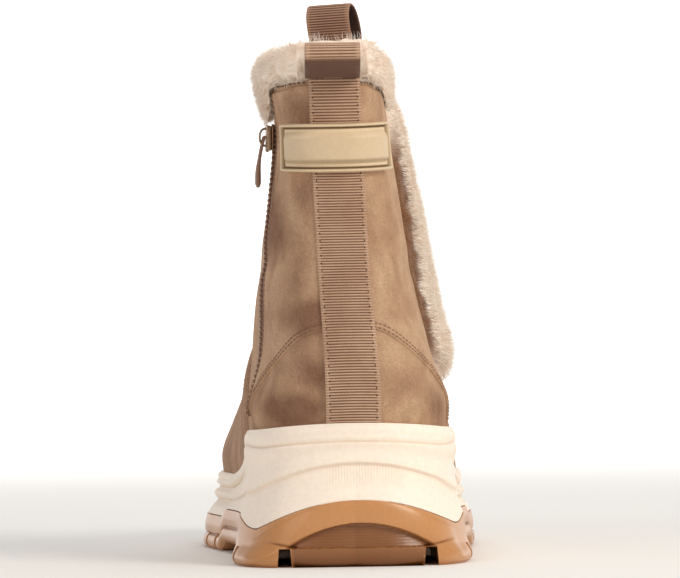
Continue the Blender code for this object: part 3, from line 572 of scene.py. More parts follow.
def makeMaterials():
    made = {
        "suede": suedeMaterial("sandedSuede", "#cdab8c", "#bf9b7d", "#94705a"),
        "vamp": suedeMaterial("sandedSuedeVamp", "#c2a188", "#b3927a", "#967460"),
        "pile": pileMaterial("fauxFur"),
        "ribbon": ribbonMaterial("grosgrainRibbon", "#d3b296", "#8d6b53", "#6e5040"),
        # a copy of the ribbon darkened as painted shade, for the front loop
        "darkRibbon": ribbonMaterial("grosgrainRibbonShaded", "#c0967b", "#6d4e3e", "#543b2f"),
        "thread": mouldedMaterial("sewingThread", "#8d6649", "#7f5a40", 0.4, 0.1, Roughness=0.6),
        # dark thread for the collar seam, and painted shade for the strap's needle holes
        "darkThread": mouldedMaterial("needleHoles", "#4f3426", "#472e21", 0.4, 0.1, Roughness=0.8),
        # EVA foam, compression moulded: matt, faintly waxy
        "foam": mouldedMaterial("mouldedFoam", "#fef2e3", "#faedde", 0.9, 0.05, "#d8bb9c", Roughness=0.6,
                                Subsurface_Weight=0.08, Subsurface_Scale=0.002),
        # natural gum rubber, pressed: dense, satin to glossy
        "gum": mouldedMaterial("gumRubber", "#c88f5a", "#be8550", 0.7, 0.03, "#6a3a19", Roughness=0.34,
                               Specular_IOR_Level=0.5, Coat_Weight=0.1),
        # soft PVC, injection moulded: satin
        "badge": mouldedMaterial("softPvc", "#e2ccab", "#dcc6a3", 0.6, 0.02, "#806748", Roughness=0.45),
        # nylon tape and moulded acetal teeth
        "tape": mouldedMaterial("nylonTape", "#9a7966", "#8d6d5b", 0.5, 0.2, Roughness=0.8),
        "teeth": mouldedMaterial("acetalTeeth", "#a58268", "#96745c", 0.4, 0.03, Roughness=0.45),
        # zinc alloy, antique brass plate
        "slider": mouldedMaterial("platedZinc", "#a88f76", "#917862", 0.5, 0.02, Roughness=0.28,
                                  Metallic=1.0),
        # silicone rubber
        "pull": mouldedMaterial("siliconeRubber", "#8f6c55", "#84624c", 0.5, 0.03, Roughness=0.5),
    }
    return made


def treeWith(name, sockets):
    tree = bpy.data.node_groups.new(name, "GeometryNodeTree")
    tree.interface.new_socket(name="Geometry", in_out="INPUT", socket_type="NodeSocketGeometry")
    for label, kind in sockets:
        tree.interface.new_socket(name=label, in_out="INPUT", socket_type="NodeSocket" + kind)
    tree.interface.new_socket(name="Geometry", in_out="OUTPUT", socket_type="NodeSocketGeometry")
    return tree, tree.nodes.new("NodeGroupInput").outputs


def endTree(tree, geometry, given):
    real = addNode(tree, "GeometryNodeRealizeInstances", {"Geometry": geometry})
    smooth = addNode(tree, "GeometryNodeSetShadeSmooth", {"Geometry": real})
    surfaced = addNode(tree, "GeometryNodeSetMaterial", {"Geometry": smooth, "Material": given["Material"]})
    addNode(tree, "NodeGroupOutput", {0: surfaced})


# one strand: how far its tip bends over, where it starts to taper and to what, and how strands differ
strandLook = {"tip": (0.3, 0.0, 0.95), "taperFrom": 0.35, "tipThin": 0.12, "rootTone": 0.4,
              "lengths": (0.65, 1.15), "ownPush": 0.35, "spin": 6.283}


def pileTree():    # tapered strands standing on a surface, leaning along its "flow" field
    sizes = [(label, "Float") for label in ("Density", "Length", "Thickness", "Lean", "Tousle", "Tuft Size")]
    tree, given = treeWith("pileStrands", (*sizes, ("Seed", "Int"), ("Material", "Material")))
    amount = addNode(tree, "GeometryNodeInputNamedAttribute", {"Name": "amount"}, data_type="FLOAT")
    flow = addNode(tree, "GeometryNodeInputNamedAttribute", {"Name": "flow"}, data_type="FLOAT_VECTOR")
    density = addNode(tree, "ShaderNodeMath", {0: given["Density"], 1: amount}, operation="MULTIPLY")
    spread = addNode(tree, "GeometryNodeDistributePointsOnFaces", {
        "Mesh": given["Geometry"], "Density": density, "Seed": given["Seed"]})

    # each strand's direction: outwards, leaning with the flow, pushed about in tufts and a little on its own
    tuft = addNode(tree, "ShaderNodeTexNoise", {"Scale": given["Tuft Size"], "Detail": 1.0})
    tuftPush = addNode(tree, "ShaderNodeVectorMath", {0: tuft.outputs["Color"], 1: (0.5, 0.5, 0.5)},
                       operation="SUBTRACT")
    own = addNode(tree, "FunctionNodeRandomValue", {0: (-0.5,) * 3, 1: (0.5,) * 3, "Seed": given["Seed"]},
                  data_type="FLOAT_VECTOR")
    push = addNode(tree, "ShaderNodeVectorMath", {0: own, 1: (strandLook["ownPush"],) * 3, 2: tuftPush},
                   operation="MULTIPLY_ADD")
    lean = addNode(tree, "ShaderNodeVectorMath", {0: flow, "Scale": given["Lean"]}, operation="SCALE")
    leaning = addNode(tree, "ShaderNodeVectorMath", {0: spread.outputs["Normal"], 1: lean}, operation="ADD")
    tousled = addNode(tree, "ShaderNodeVectorMath", {0: push, "Scale": given["Tousle"]}, operation="SCALE")
    aim = addNode(tree, "ShaderNodeVectorMath", {0: leaning, 1: tousled}, operation="ADD")
    spin = addNode(tree, "FunctionNodeRandomValue", {2: 0.0, 3: strandLook["spin"], "Seed": 11},
                   data_type="FLOAT")
    turned = addNode(tree, "FunctionNodeAxisAngleToRotation", {
        "Axis": (0.0, 0.0, 1.0), "Angle": spin.outputs[1]})
    stand = addNode(tree, "FunctionNodeAlignRotationToVector", {"Vector": aim}, axis="Z")
    both = addNode(tree, "FunctionNodeRotateRotation", {0: stand, 1: turned}, rotation_space="LOCAL")

    # one strand of unit length: three-sided, tapered, paler towards its tip
    line = addNode(tree, "GeometryNodeCurveQuadraticBezier", {
        "Resolution": 1, "Start": (0.0, 0.0, 0.0), "Middle": (0.0, 0.0, 0.6), "End": strandLook["tip"]})
    along = addNode(tree, "GeometryNodeSplineParameter").outputs["Factor"]
    paler = addNode(tree, "ShaderNodeMapRange", {
        "Value": along, "To Min": strandLook["rootTone"], "To Max": 1.0})
    marked = addNode(tree, "GeometryNodeStoreNamedAttribute", {
        "Geometry": line, "Name": "along", "Value": paler}, data_type="FLOAT", domain="POINT")
    taper = addNode(tree, "ShaderNodeMapRange", {
        "Value": along, "From Min": strandLook["taperFrom"], "To Min": 1.0, "To Max": strandLook["tipThin"]})
    outline = addNode(tree, "GeometryNodeCurvePrimitiveCircle", {
        "Resolution": 3, "Radius": given["Thickness"]})
    strand = addNode(tree, "GeometryNodeCurveToMesh", {
        "Curve": marked, "Profile Curve": outline, "Scale": taper,
        "Fill Caps": True})

    least, most = strandLook["lengths"]
    vary = addNode(tree, "FunctionNodeRandomValue", {2: least, 3: most, "Seed": 3}, data_type="FLOAT")
    length = addNode(tree, "ShaderNodeMath", {0: given["Length"], 1: vary.outputs[1]}, operation="MULTIPLY")
    placed = addNode(tree, "GeometryNodeInstanceOnPoints", {
        "Points": spread, "Instance": strand, "Rotation": both,
        "Scale": length})
    tone = addNode(tree, "FunctionNodeRandomValue", {2: 0.0, 3: 1.0, "Seed": 7}, data_type="FLOAT")
    toned = addNode(tree, "GeometryNodeStoreNamedAttribute", {
        "Geometry": placed, "Name": "tone", "Value": tone.outputs[1]}, data_type="FLOAT", domain="INSTANCE")
    endTree(tree, toned, given)
    return tree


def rowTree(kind):    # small shapes at even steps along a line, their backs to its "away" field
    tree, given = treeWith(kind + "Row", (("Pitch", "Float"), ("Size", "Vector"), ("Material", "Material")))
    line = addNode(tree, "GeometryNodeMeshToCurve", {"Mesh": given["Geometry"]})
    even = addNode(tree, "GeometryNodeResampleCurve", {"Curve": line, "Length": given["Pitch"]},
                   mode="LENGTH")
    tangent = addNode(tree, "GeometryNodeInputTangent")
    away = addNode(tree, "GeometryNodeInputNamedAttribute", {"Name": "away"}, data_type="FLOAT_VECTOR")
    first = addNode(tree, "FunctionNodeAlignRotationToVector", {"Vector": tangent}, axis="Z")
    second = addNode(tree, "FunctionNodeAlignRotationToVector", {"Rotation": first, "Vector": away},
                     axis="X", pivot_axis="Z")
    if kind == "stitch":
        shape = addNode(tree, "GeometryNodeMeshUVSphere", {"Segments": 6, "Rings": 5, "Radius": 0.5})
    else:
        shape = addNode(tree, "GeometryNodeMeshCube", {"Size": (1.0, 1.0, 1.0)})
    placed = addNode(tree, "GeometryNodeInstanceOnPoints", {
        "Points": even, "Instance": shape, "Rotation": second, "Scale": given["Size"]})
    endTree(tree, placed, given)
    return tree


def growNodes(name, source, tree, settings):    # the tree's result as a plain mesh; the source is used up
    modifier = source.modifiers.new("grow", "NODES")
    modifier.node_group = tree
    for socket in tree.interface.items_tree:
        if socket.in_out == "INPUT" and socket.name in settings:
            modifier[socket.identifier] = settings[socket.name]
    evaluated = source.evaluated_get(bpy.context.evaluated_depsgraph_get())
    mesh = bpy.data.meshes.new_from_object(evaluated)
    bpy.data.objects.remove(source, do_unlink=True)
    mesh.name = name
    grown = bpy.data.objects.new(name, mesh)
    bpy.context.scene.collection.objects.link(grown)
    return grown


def seamLine(turn, rise, lift):
    return suedePoints(turn, rise, lift), upperNormals(turn, rise)


def sewRows(name, lines, kind, material, pitch, size):
    # stitches, holes or teeth along lines, which are pairs of points and outward vectors
    edges, start = [], 0
    for line, _ in lines:
        edges += [(start + at, start + at + 1) for at in range(len(line) - 1)]
        start += len(line)
    source = makePiece(name + "Path", np.concatenate([line for line, _ in lines]), [], None,
                       {"away": np.concatenate([away for _, away in lines])})
    source.data.edges.add(len(edges))
    source.data.edges.foreach_set("vertices", np.array(edges).ravel())
    finishPiece(growNodes(name, source, rowTree(kind), {
        "Pitch": pitch * mm, "Size": [length * mm for length in size], "Material": material}))


stage = {
    # where the camera stands, in metres and degrees, behind the heel
    "cameraBehind": 1.5, "cameraHeight": 0.080, "cameraTurn": 1.3, "cameraTilt": 0.84, "cameraRoll": -0.9,
    "lens": 217.0, "sensor": 36.0, "aside": -0.00391, "heel": (0.0039, -0.141),
    # a paper bowl: flat for floorReach, then curved up; its glow grows with the distance and towards the toe
    "floor": "#f2f0ec", "floorReach": 4.4, "wallCurve": 0.8, "wallHigh": 1.0, "glow": 0.68,
    "glowSpan": (0.6, 2.6), "glowAhead": (-2.5, 0.5), "glowBehind": 0.2, "sky": 0.37,
    "lamps": (    # name, place, aim, size, watts, tint
        ("key", (1.05, -1.15, 1.0), (0.0, 0.0, 0.10), 0.7, 15.8, "#fff6ea"),
        ("fill", (-1.1, -1.3, 0.7), (0.0, 0.0, 0.10), 0.9, 4.0, "#ffefec"),
        ("top", (0.1, 0.1, 1.6), (0.0, 0.0, 0.10), 1.0, 8.5, "#ffffff"),
        ("floor", (0.0, 1.5, 1.9), (0.0, 2.6, 1.0), 1.4, 34.0, "#ffffff")),
}


def makeCamera():
    s = stage
    turn, tilt = math.radians(s["cameraTurn"]), math.radians(s["cameraTilt"])
    ahead = Vector((math.sin(turn), math.cos(turn), 0.0))
    right = Vector((ahead.y, -ahead.x, 0.0))
    eye = Vector((*s["heel"], 0.0)) - ahead * s["cameraBehind"] + right * s["aside"] * s["cameraBehind"]
    eye.z = s["cameraHeight"]
    forward = (ahead * math.cos(tilt) + Vector((0.0, 0.0, math.sin(tilt)))).normalized()
    place = Matrix((right, right.cross(forward), -forward)).transposed().to_4x4()
    place = place @ Matrix.Rotation(math.radians(s["cameraRoll"]), 4, "Z")
    place.translation = eye
    camera = bpy.data.objects.new("camera", bpy.data.cameras.new("camera"))
    camera.data.lens = s["lens"]
    camera.data.sensor_width = s["sensor"]
    camera.matrix_world = place
    bpy.context.scene.collection.objects.link(camera)
    bpy.context.scene.camera = camera
    bpy.context.scene.view_settings.view_transform = "Standard"


def makeFloor():
    s = stage
    reach, curve = s["floorReach"], s["wallCurve"]
    profile = [(share * reach, 0.0) for share in (0.02, 0.1, 0.4, 0.7, 1.0)]
    profile += [(reach + curve * math.sin(a), curve - curve * math.cos(a))
                for a in np.linspace(0.15, math.pi / 2, 12)]
    profile += [(reach + curve, s["wallHigh"])]
    around = np.linspace(0.0, fullTurn, 96, endpoint=False)
    bowl = np.array([[(r * math.cos(a), r * math.sin(a), z) for a in around] for r, z in profile])
    paper, tree, shader, place = newMaterial("seamlessPaper", Base_Color=colour(s["floor"]), Roughness=0.9)
    apart = addNode(tree, "ShaderNodeVectorMath", {0: place}, operation="LENGTH").outputs["Value"]
    far = addNode(tree, "ShaderNodeMapRange", {
        "Value": apart, "From Min": s["glowSpan"][0], "From Max": s["glowSpan"][1], "To Max": s["glow"]},
        interpolation_type="SMOOTHSTEP")
    ahead = addNode(tree, "ShaderNodeSeparateXYZ", {0: place}).outputs["Y"]
    front = addNode(tree, "ShaderNodeMapRange", {
        "Value": ahead, "From Min": s["glowAhead"][0], "From Max": s["glowAhead"][1],
        "To Min": s["glowBehind"]})
    glow = addNode(tree, "ShaderNodeMath", {0: far, 1: front}, operation="MULTIPLY")
    shader.inputs["Emission Color"].default_value = colour("#ffffff")
    tree.links.new(glow.outputs[0], shader.inputs["Emission Strength"])
    faces = gridFaces(len(profile), len(around), wrap=True)[:, ::-1].tolist() + [list(range(len(around)))]
    floor = makePiece("floor", bowl / mm + tableMiddle, faces, paper)


def makeLight():
    world = bpy.data.worlds.new("studio")
    bpy.context.scene.world = world
    world.use_nodes = True
    sky = world.node_tree.nodes["Background"].inputs
    sky["Color"].default_value = colour("#ffffff")
    sky["Strength"].default_value = stage["sky"]
    for name, at, aim, size, watts, tint in stage["lamps"]:
        lamp = bpy.data.objects.new(name, bpy.data.lights.new(name, "AREA"))
        lamp.data.size = size
        lamp.data.energy = watts
        lamp.data.color = colour(tint)[:3]
        lamp.location = at
        lamp.visible_camera = False
        lamp.rotation_euler = (Vector(aim) - Vector(at)).to_track_quat("-Z", "Y").to_euler()
        bpy.context.scene.collection.objects.link(lamp)


def makeStage():
    makeCamera()
    makeFloor()
    makeLight()


upperLook = {
    "columns": 320, "rows": 100, "suede": 1.7, "liningOut": -2.3, "liningIn": -4.5, "sunk": 0.45,
    # the quarter: how proud it stands, its columns and rows, its size in mm, and the heights it is fitted at
    "quarter": 1.0, "panel": (170, 86), "panelSize": (190.0, 95.0), "heights": (40.0, 184.0, 49), "top": 9.93,
    # over the sewn edge: in from the edge, half width and height of its roll and its two needle lines
    "welt": ((1.7, 0.5, 0.2), (0.9, 0.3, -0.22), (2.5, 0.35, -0.22)), "weltRows": 24,
    "stitchPitch": 1.9, "stitch": (0.42, 0.4, 1.5), "footRows": (0.9, 2.5), "sideRow": 1.6,
    # the seam under the collar: rise, lift, pitch and size, and its two runs beside the strap
    "hemRise": 9.97, "hemLift": 0.4, "hemPitch": 2.4, "hemStitch": (0.55, 0.6, 1.8),
    "hemRuns": ((-0.17, -0.045, 40), (0.045, 0.12, 24)),
}
# the counter's arch: turn and height of the quarter's lower edge
counterArch = ((-0.16, 34.0), (-0.135, 44.0), (-0.118, 51.5), (-0.1004, 59.0), (-0.0788, 70.0),
               (-0.0571, 81.0), (-0.04, 85.0), (-0.022, 86.6), (0.0, 87.0), (0.029, 86.2), (0.0503, 81.0),
               (0.065, 76.0), (0.0778, 70.5), (0.0935, 60.0), (0.108, 50.0), (0.135, 38.0), (0.22, 20.0))
zipPlace = {"y": (50.0, 58.0), "z": (165.0, 56.0), "half": 6.0, "seam": 4.6}
furPlace = {"y": 98.5, "drift": -7.0, "z": (171.0, 66.0), "half": 19.0,
            "hook": 16.0, "hookSpan": (54.0, 74.0)}


def zipLine(z):    # turn of the zip's middle at a height
    y = blend(*zipPlace["y"], (zipPlace["z"][0] - z) / (zipPlace["z"][0] - zipPlace["z"][1]))
    return turnAt(-1, y, z)


def quarterFront(z):    # turn of the quarter's outer edge: behind the fur, then hooking forward
    f = furPlace
    share = np.clip((f["z"][0] - z) / (f["z"][0] - f["z"][1]), 0.0, 1.3)
    y = f["y"] + f["drift"] * share - f["half"] - 0.5
    return turnAt(1, y + f["hook"] * fade(z, *f["hookSpan"]), z)


def quarterBottom(turn):
    edge = upperPoints(turn, -0.2)[..., 2]
    return np.maximum(throughTable(counterArch, turn), edge)


def quarterGrid():    # turns, rises and how far each edge has rolled up
    u = upperLook
    columns, rows = u["panel"]
    wide, tall = u["panelSize"]
    across, climb = edgeSteps(columns, wide), edgeSteps(rows, tall)
    low = np.linspace(*u["heights"])
    inner = alongRing(zipLine(low), riseAt(zipLine(low), low), zipPlace["seam"])
    outer = quarterFront(low)
    turn = blend(inner[0], outer[0], across)
    for _ in range(4):    # the side edges are slanted, so each column's foot is found by repeating
        foot = quarterBottom(turn)
        turn = blend(np.interp(foot, low, inner), np.interp(foot, low, outer), across)
    foot = quarterBottom(turn)
    top = upperPoints(turn, u["top"])[..., 2]
    z = blend(foot[None, :], top[None, :], climb[:, None])
    turns = blend(np.interp(z, low, inner), np.interp(z, low, outer), across[None, :])
    return turns, riseAt(turns, z), edgeRoll(across, wide)[None, :] * edgeRoll(climb, tall)[:, None]


def makeUpper(finish):
    u = upperLook
    turn, rise = np.meshgrid(np.arange(u["columns"]) / u["columns"],
                             np.linspace(-0.35, collarRise, u["rows"]))
    outer = suedePoints(turn, rise, -u["sunk"])
    inner = outer - upperNormals(turn, rise) * u["suede"]
    shell = slab("upperShell", outer, inner, finish["suede"], {"nap": napField(outer)}, wrap=True)
    finishPiece(shell, stands=("upper",))

    turns, rises, roll = quarterGrid()
    points = suedePoints(turns, rises)
    sewn = points[:u["weltRows"]]
    apart = np.min(np.linalg.norm(sewn[:, :, None] - points[0][None, None, ::2], axis=-1), axis=-1)
    welt = np.zeros(turns.shape)
    for at, wide, high in u["welt"]:
        welt[:u["weltRows"]] += high * bell(apart - at, wide)
    lift = -u["sunk"] + u["quarter"] * roll + welt * roll
    back = suedePoints(turns, rises, -u["sunk"] - 0.35)
    quarter = slab("quarterPanel", suedePoints(turns, rises, lift), back, finish["suede"],
                   {"nap": napField(points)})
    finishPiece(quarter)

    # two rows over the counter's arch, where it is clear of the sole, and one down each side edge
    clear = upperPoints(turns[0], rises[0])[:, 2] > upperPoints(turns[0], 0.0)[:, 2] + 2.0
    rows = [(evenPath(turns[0, clear], rises[0, clear]), aside) for aside in u["footRows"]]
    for column, side in ((-1, 1.0), (0, -1.0)):
        rows.append((evenPath(turns[:, column], rises[:, column]), side * u["sideRow"]))
    lines = []
    for line, aside in rows:
        atTurn, atRise = seamOffset(*line, aside)
        lines.append(seamLine(atTurn, np.clip(atRise, 0.15, 9.9), -u["sunk"] + u["quarter"] + 0.02))
    sewRows("quarterStitches", lines, "stitch", finish["thread"], u["stitchPitch"], u["stitch"])
    hem = [seamLine(np.linspace(*run), u["hemRise"], u["hemLift"]) for run in u["hemRuns"]]
    sewRows("collarSeam", hem, "stitch", finish["darkThread"], u["hemPitch"], u["hemStitch"])


vampLook = {"back": 106.0, "tip": 9.0, "top": 5.6, "bow": 1.3, "thick": 1.3, "lift": 0.3,
            "size": (260.0, 120.0), "columns": 150, "rows": 56, "stitchPitch": 2.6, "stitchRows": (2.2, 4.8)}


def overlayEdge(side, rise):
    v = vampLook
    frontY = upperPoints(0.5, v["top"])[1]
    y = blend(v["back"], frontY - v["tip"], (np.maximum(rise, 0.0) / v["top"]) ** v["bow"])
    return bisect(lambda turn: upperPoints(turn, rise)[..., 1] < y, 0.0, 0.5 * side)


def makeVamp(finish):
    v = vampLook
    wide, tall = v["size"]
    across, climb = edgeSteps(v["columns"], wide), edgeSteps(v["rows"], tall)
    rise = blend(-0.25, v["top"], climb)
    outer, inner = overlayEdge(1, rise), 1.0 + overlayEdge(-1, rise)
    turns = blend(outer[:, None], inner[:, None], across[None, :])
    rises = np.broadcast_to(rise[:, None], turns.shape)
    roll = edgeRoll(across, wide)[None, :] * edgeRoll(climb, tall)[:, None]
    piece = slab("vampOverlay", suedePoints(turns, rises, v["lift"] + v["thick"] * roll),
                 suedePoints(turns, rises, -0.6), finish["vamp"],
                 {"nap": napField(upperPoints(turns, rises))})
    finishPiece(piece, stands=("vamp_overlay",))
    lines = []
    for column, side in ((0, -1.0), (-1, 1.0)):
        for aside in v["stitchRows"]:
            atTurn, atRise = seamOffset(*evenPath(turns[:, column], rises[:, column]), side * aside)
            lines.append(seamLine(atTurn, np.clip(atRise, 0.2, v["top"] - 0.1), v["lift"] + v["thick"]))
    sewRows("vampStitches", lines, "stitch", finish["thread"], v["stitchPitch"], upperLook["stitch"])


ribbonLook = {
    "width": 20.3, "thick": 1.3, "strapTop": 179.6, "strapFoot": 50.8, "strapSeam": 177.9,
    "pitch": 1.02, "depth": 0.34, "samples": 6,    # of the ribs, with rows of points to a rib
    "selvedge": 1.6, "holePitch": 2.76, "hole": (0.5, 0.8, 0.9),
}
loopPaths = {    # out from the suede and up from the collar's seam
    "backLoop": ((0.9, 3.2), (2.9, 6.8), (5.8, 10.3), (9.2, 12.8), (13.0, 13.8), (16.2, 12.7), (17.4, 9.9),
                 (15.4, 6.9), (9.4, 4.4), (1.1, 2.6)),
    "frontLoop": ((1.0, 1.2), (3.6, 3.6), (4.8, 8.0), (4.4, 15.0), (3.8, 22.0), (4.2, 28.4), (6.6, 32.6),
                  (9.8, 30.8), (11.4, 24.0), (10.6, 15.0), (8.8, 6.0), (5.0, 0.0), (1.4, -2.0)),
}
# turn of the seam, twist in degrees, and how far the top leans to the inner side
loopSet = {"backLoop": (-0.0015, 0.0, 0.0), "frontLoop": (0.490, 26.0, 5.0)}


def ribProfile(length, pitch):    # 1 on a cord's crown, 0 in the groove
    return 0.5 - 0.5 * np.cos(fullTurn * length / pitch)


def ribbonColumns():    # places across a ribbon, 1 on its plain selvedges, and how its edges round off
    half, selvedge = 0.5 * ribbonLook["width"], ribbonLook["selvedge"]
    inside = np.linspace(-half + selvedge + 0.3, half - selvedge - 0.3, 9)
    edge = np.array([0.0, 0.25, 0.7, 1.2, 1.6])
    columns = np.concatenate((-half + edge, inside, half - edge[::-1]))
    plain = ease(np.abs(columns), half - selvedge - 0.2, half - selvedge + 0.1)
    return columns, plain, edgeRoll((columns + half) / (2 * half), 2 * half, 0.5)


def ribsAcross(length, plain):    # the ribs, lower and shallower on the selvedges
    cord = ribProfile(length, ribbonLook["pitch"])
    return blend(cord, 0.4 + 0.45 * cord, plain[None, :])


def makeStrap(finish):
    r = ribbonLook
    columns, plain, ends = ribbonColumns()
    length = r["strapTop"] - r["strapFoot"]
    z = np.linspace(r["strapTop"], r["strapFoot"], int(length / r["pitch"] * r["samples"]))
    z, across = np.meshgrid(z, columns, indexing="ij")
    rise = riseAt(0.0, z)
    turn = alongRing(0.0, rise, across)
    cord = ribsAcross(r["strapTop"] - z, plain)
    over = np.maximum(z - r["strapSeam"], 0.0)[..., None] * up
    flat = 0.35 + (r["thick"] - r["depth"]) * (0.35 + 0.65 * ends[None, :])
    lift = flat + r["depth"] * cord * ends[None, :]
    # painted shade in the grooves between the ribs
    strap = slab("backStrap", suedePoints(turn, rise, lift) + over, suedePoints(turn, rise, -0.2) + over,
                 finish["ribbon"], {"groove": within(1.0 - cord)})
    finishPiece(strap, stands=("back_strap",))
    path = np.arange(r["strapFoot"] + 1.5, r["strapSeam"] - 0.4, 1.0)
    atRise = riseAt(0.0, path)
    lines = []
    for side in (-1, 1):
        atTurn = alongRing(0.0, atRise, side * (0.5 * r["width"] - r["selvedge"] - 0.1))
        lines.append(seamLine(atTurn, atRise, 0.35 + r["thick"] - 0.22))
    # the strap's needle holes are dark dots of painted shade
    sewRows("strapStitches", lines, "stitch", finish["darkThread"], r["holePitch"], r["hole"])


def makeLoop(name, node, finish):
    r = ribbonLook
    path = np.array(loopPaths[name])
    padded = np.vstack((path[0], path, path[-1]))
    shares = np.linspace(0.0, 1.0, 30, endpoint=False)[:, None]
    dense = np.vstack([catmull(*padded[at:at + 4], shares) for at in range(len(path) - 1)] + [path[-1:]])
    lengths = lengthsOf(dense)
    at = np.linspace(0.0, lengths[-1], int(lengths[-1] / r["pitch"] * r["samples"]))
    line = np.stack([np.interp(at, lengths, dense[:, axis]) for axis in (0, 1)], axis=-1)
    along = unit(np.gradient(line, axis=0))
    facing = np.stack([-along[:, 1], along[:, 0]], axis=-1)    # away from the loop's eye
    turn, twist, lean = loopSet[name]
    twist = math.radians(twist)
    seam = upperPoints(turn, collarRise)
    outward = upperNormals(turn, collarRise) * np.array([1.0, 1.0, 0.0])
    outward = outward / np.linalg.norm(outward)
    sideways = np.array([-outward[1], outward[0], 0.0])
    outward, sideways = (outward * math.cos(twist) - sideways * math.sin(twist),
                         sideways * math.cos(twist) + outward * math.sin(twist))
    columns, plain, ends = ribbonColumns()
    cord = ribsAcross(at[:, None], plain)
    half = (0.5 * r["thick"] - 0.14) * (0.5 + 0.5 * ends[None, :]) + 0.26 * (cord - 0.5) * ends[None, :]
    # the back loop's ribs flatten on its shaded return, where painted shade darkens it
    flat = ease(np.linspace(0.0, 1.0, len(at)), 0.56, 0.62)[:, None] * (name == "backLoop")
    cord = blend(cord, 0.5, 0.7 * flat)
    groove = within(np.maximum(1.0 - cord, flat))
    aslant = lean * line[:, 1] / 32.0    # the eye is about 32 high
    aside = (columns[None, :] + aslant[:, None])[..., None] * sideways

    def face(sign):
        side = line[:, None, :] + facing[:, None, :] * (half * sign)[..., None]
        return seam + side[..., :1] * outward + side[..., 1:] * up + aside

    # painted shade: the loops' inner faces take nearly the full groove darkness
    loop = slab(name, face(1.0), face(-1.0), finish["darkRibbon" if name == "frontLoop" else "ribbon"],
                {"groove": groove}, under={"groove": np.full(groove.shape, 0.95)})
    finishPiece(loop, stands=(node,))


def makeLoops(finish):
    makeLoop("backLoop", "back_loop", finish)
    makeLoop("frontLoop", "front_loop", finish)


badgeLook = {
    "width": 48.2, "z": (145.5, 163.5), "low": 2.0, "columns": 190, "rows": 84, "edge": 0.5,
    # a frame round a groove round a margin, then a panel with slopes on all four sides
    "frame": 1.25, "frameHigh": 2.4, "frameRound": 0.55, "panelHigh": 1.2,
    "groove": 0.5, "grooveHalf": 0.36, "grooveDeep": 1.0, "margin": 1.3,
    "plateau": 2.2, "topSlope": 2.4, "footSlope": 1.7, "sideSlope": 2.0,
    "overStrap": (10.3, 11.4),    # its back steps down beside the strap
    "grooveShade": 0.9, "footShade": 0.45, "plateauShade": 0.16,
}


def makeBadge(finish):
    b = badgeLook
    height = b["z"][1] - b["z"][0]
    across = (edgeSteps(b["columns"], b["width"], b["edge"]) - 0.5) * b["width"]
    upward = edgeSteps(b["rows"], height, b["edge"]) * height
    z, side = np.meshgrid(b["z"][0] + upward, across, indexing="ij")
    rise = riseAt(0.0, z)
    turn = alongRing(0.0, rise, side)
    fromSide, fromFoot, fromTop = 0.5 * b["width"] - np.abs(side), z - b["z"][0], b["z"][1] - z
    inside = np.minimum(fromSide, np.minimum(fromFoot, fromTop))
    start = b["frame"] + b["groove"] + b["margin"]
    roll = 1.0 - (1.0 - within(inside / b["frameRound"])) ** 2
    high = b["frameHigh"] * np.sqrt(np.clip(roll, 0.05, 1.0))
    high = blend(high, b["panelHigh"], ease(inside, b["frame"] - 0.15, b["frame"] + 0.1))
    cut = bell(inside - b["frame"] - 0.5 * b["groove"], b["grooveHalf"])
    plateau = np.minimum(np.minimum((fromSide - start) / b["sideSlope"], (fromFoot - start) / b["footSlope"]),
                         (fromTop - start) / b["topSlope"])
    foot = bell(fromFoot - start - 0.5 * b["footSlope"], 0.75) * ease(fromSide, start, start + 1.5)
    high = high - b["grooveDeep"] * cut + b["plateau"] * within(plateau)
    low = blend(b["low"] - 0.35, 0.2, ease(np.abs(side), *b["overStrap"]))
    # painted shade in the groove, on the panel's foot slope and on its plateau
    paintedShade = cut * b["grooveShade"] + b["footShade"] * foot + b["plateauShade"] * ease(plateau, 0.9, 1.1)
    piece = slab("heelBadge", suedePoints(turn, rise, b["low"] + high), suedePoints(turn, rise, low),
                 finish["badge"], {"paintedShade": within(paintedShade)}, sharp=24.0)
    finishPiece(piece, stands=("badge",))


zipLook = {
    "rows": 90, "tapeThick": 0.7, "sunk": 0.25, "weave": 0.12,
    "teethAside": 0.75, "teethHigh": 0.95, "toothPitch": 2.0, "tooth": (0.9, 2.0, 1.1),
    "sliderZ": 160.0, "sliderDrop": 5.45, "sliderHigh": 2.0,
}


def makeZip(finish):
    look, half = zipLook, zipPlace["half"]
    z = np.linspace(*zipPlace["z"], look["rows"])
    turn = zipLine(z)
    rise = riseAt(turn, z)
    inside = np.linspace(0.8 - half, half - 0.8, 17)
    widths = np.concatenate(([-half, 0.3 - half], inside, [half - 0.3, half]))
    turns = np.stack([alongRing(turn, rise, width) for width in widths], axis=1)
    rises = np.broadcast_to(rise[:, None], turns.shape)
    weave = look["weave"] * np.sin(widths * 4.0)[None, :]
    tape = slab("zipTape", suedePoints(turns, rises, -look["sunk"] + look["tapeThick"] + weave),
                suedePoints(turns, rises, -0.8), finish["tape"])
    finishPiece(tape, stands=("zip",))
    lines = []
    for side, skip in ((-1.0, 0.0), (1.0, 0.5)):    # the two sides' teeth stand in each other's gaps
        path = np.linspace(z[0] - skip * look["toothPitch"], z[-1] + 0.6, 120)
        middle = zipLine(path)
        atRise = riseAt(middle, path)
        atTurn = alongRing(middle, atRise, side * look["teethAside"])
        lines.append(seamLine(atTurn, atRise, look["teethHigh"]))
    sewRows("zipTeeth", lines, "tooth", finish["teeth"], look["toothPitch"], look["tooth"])


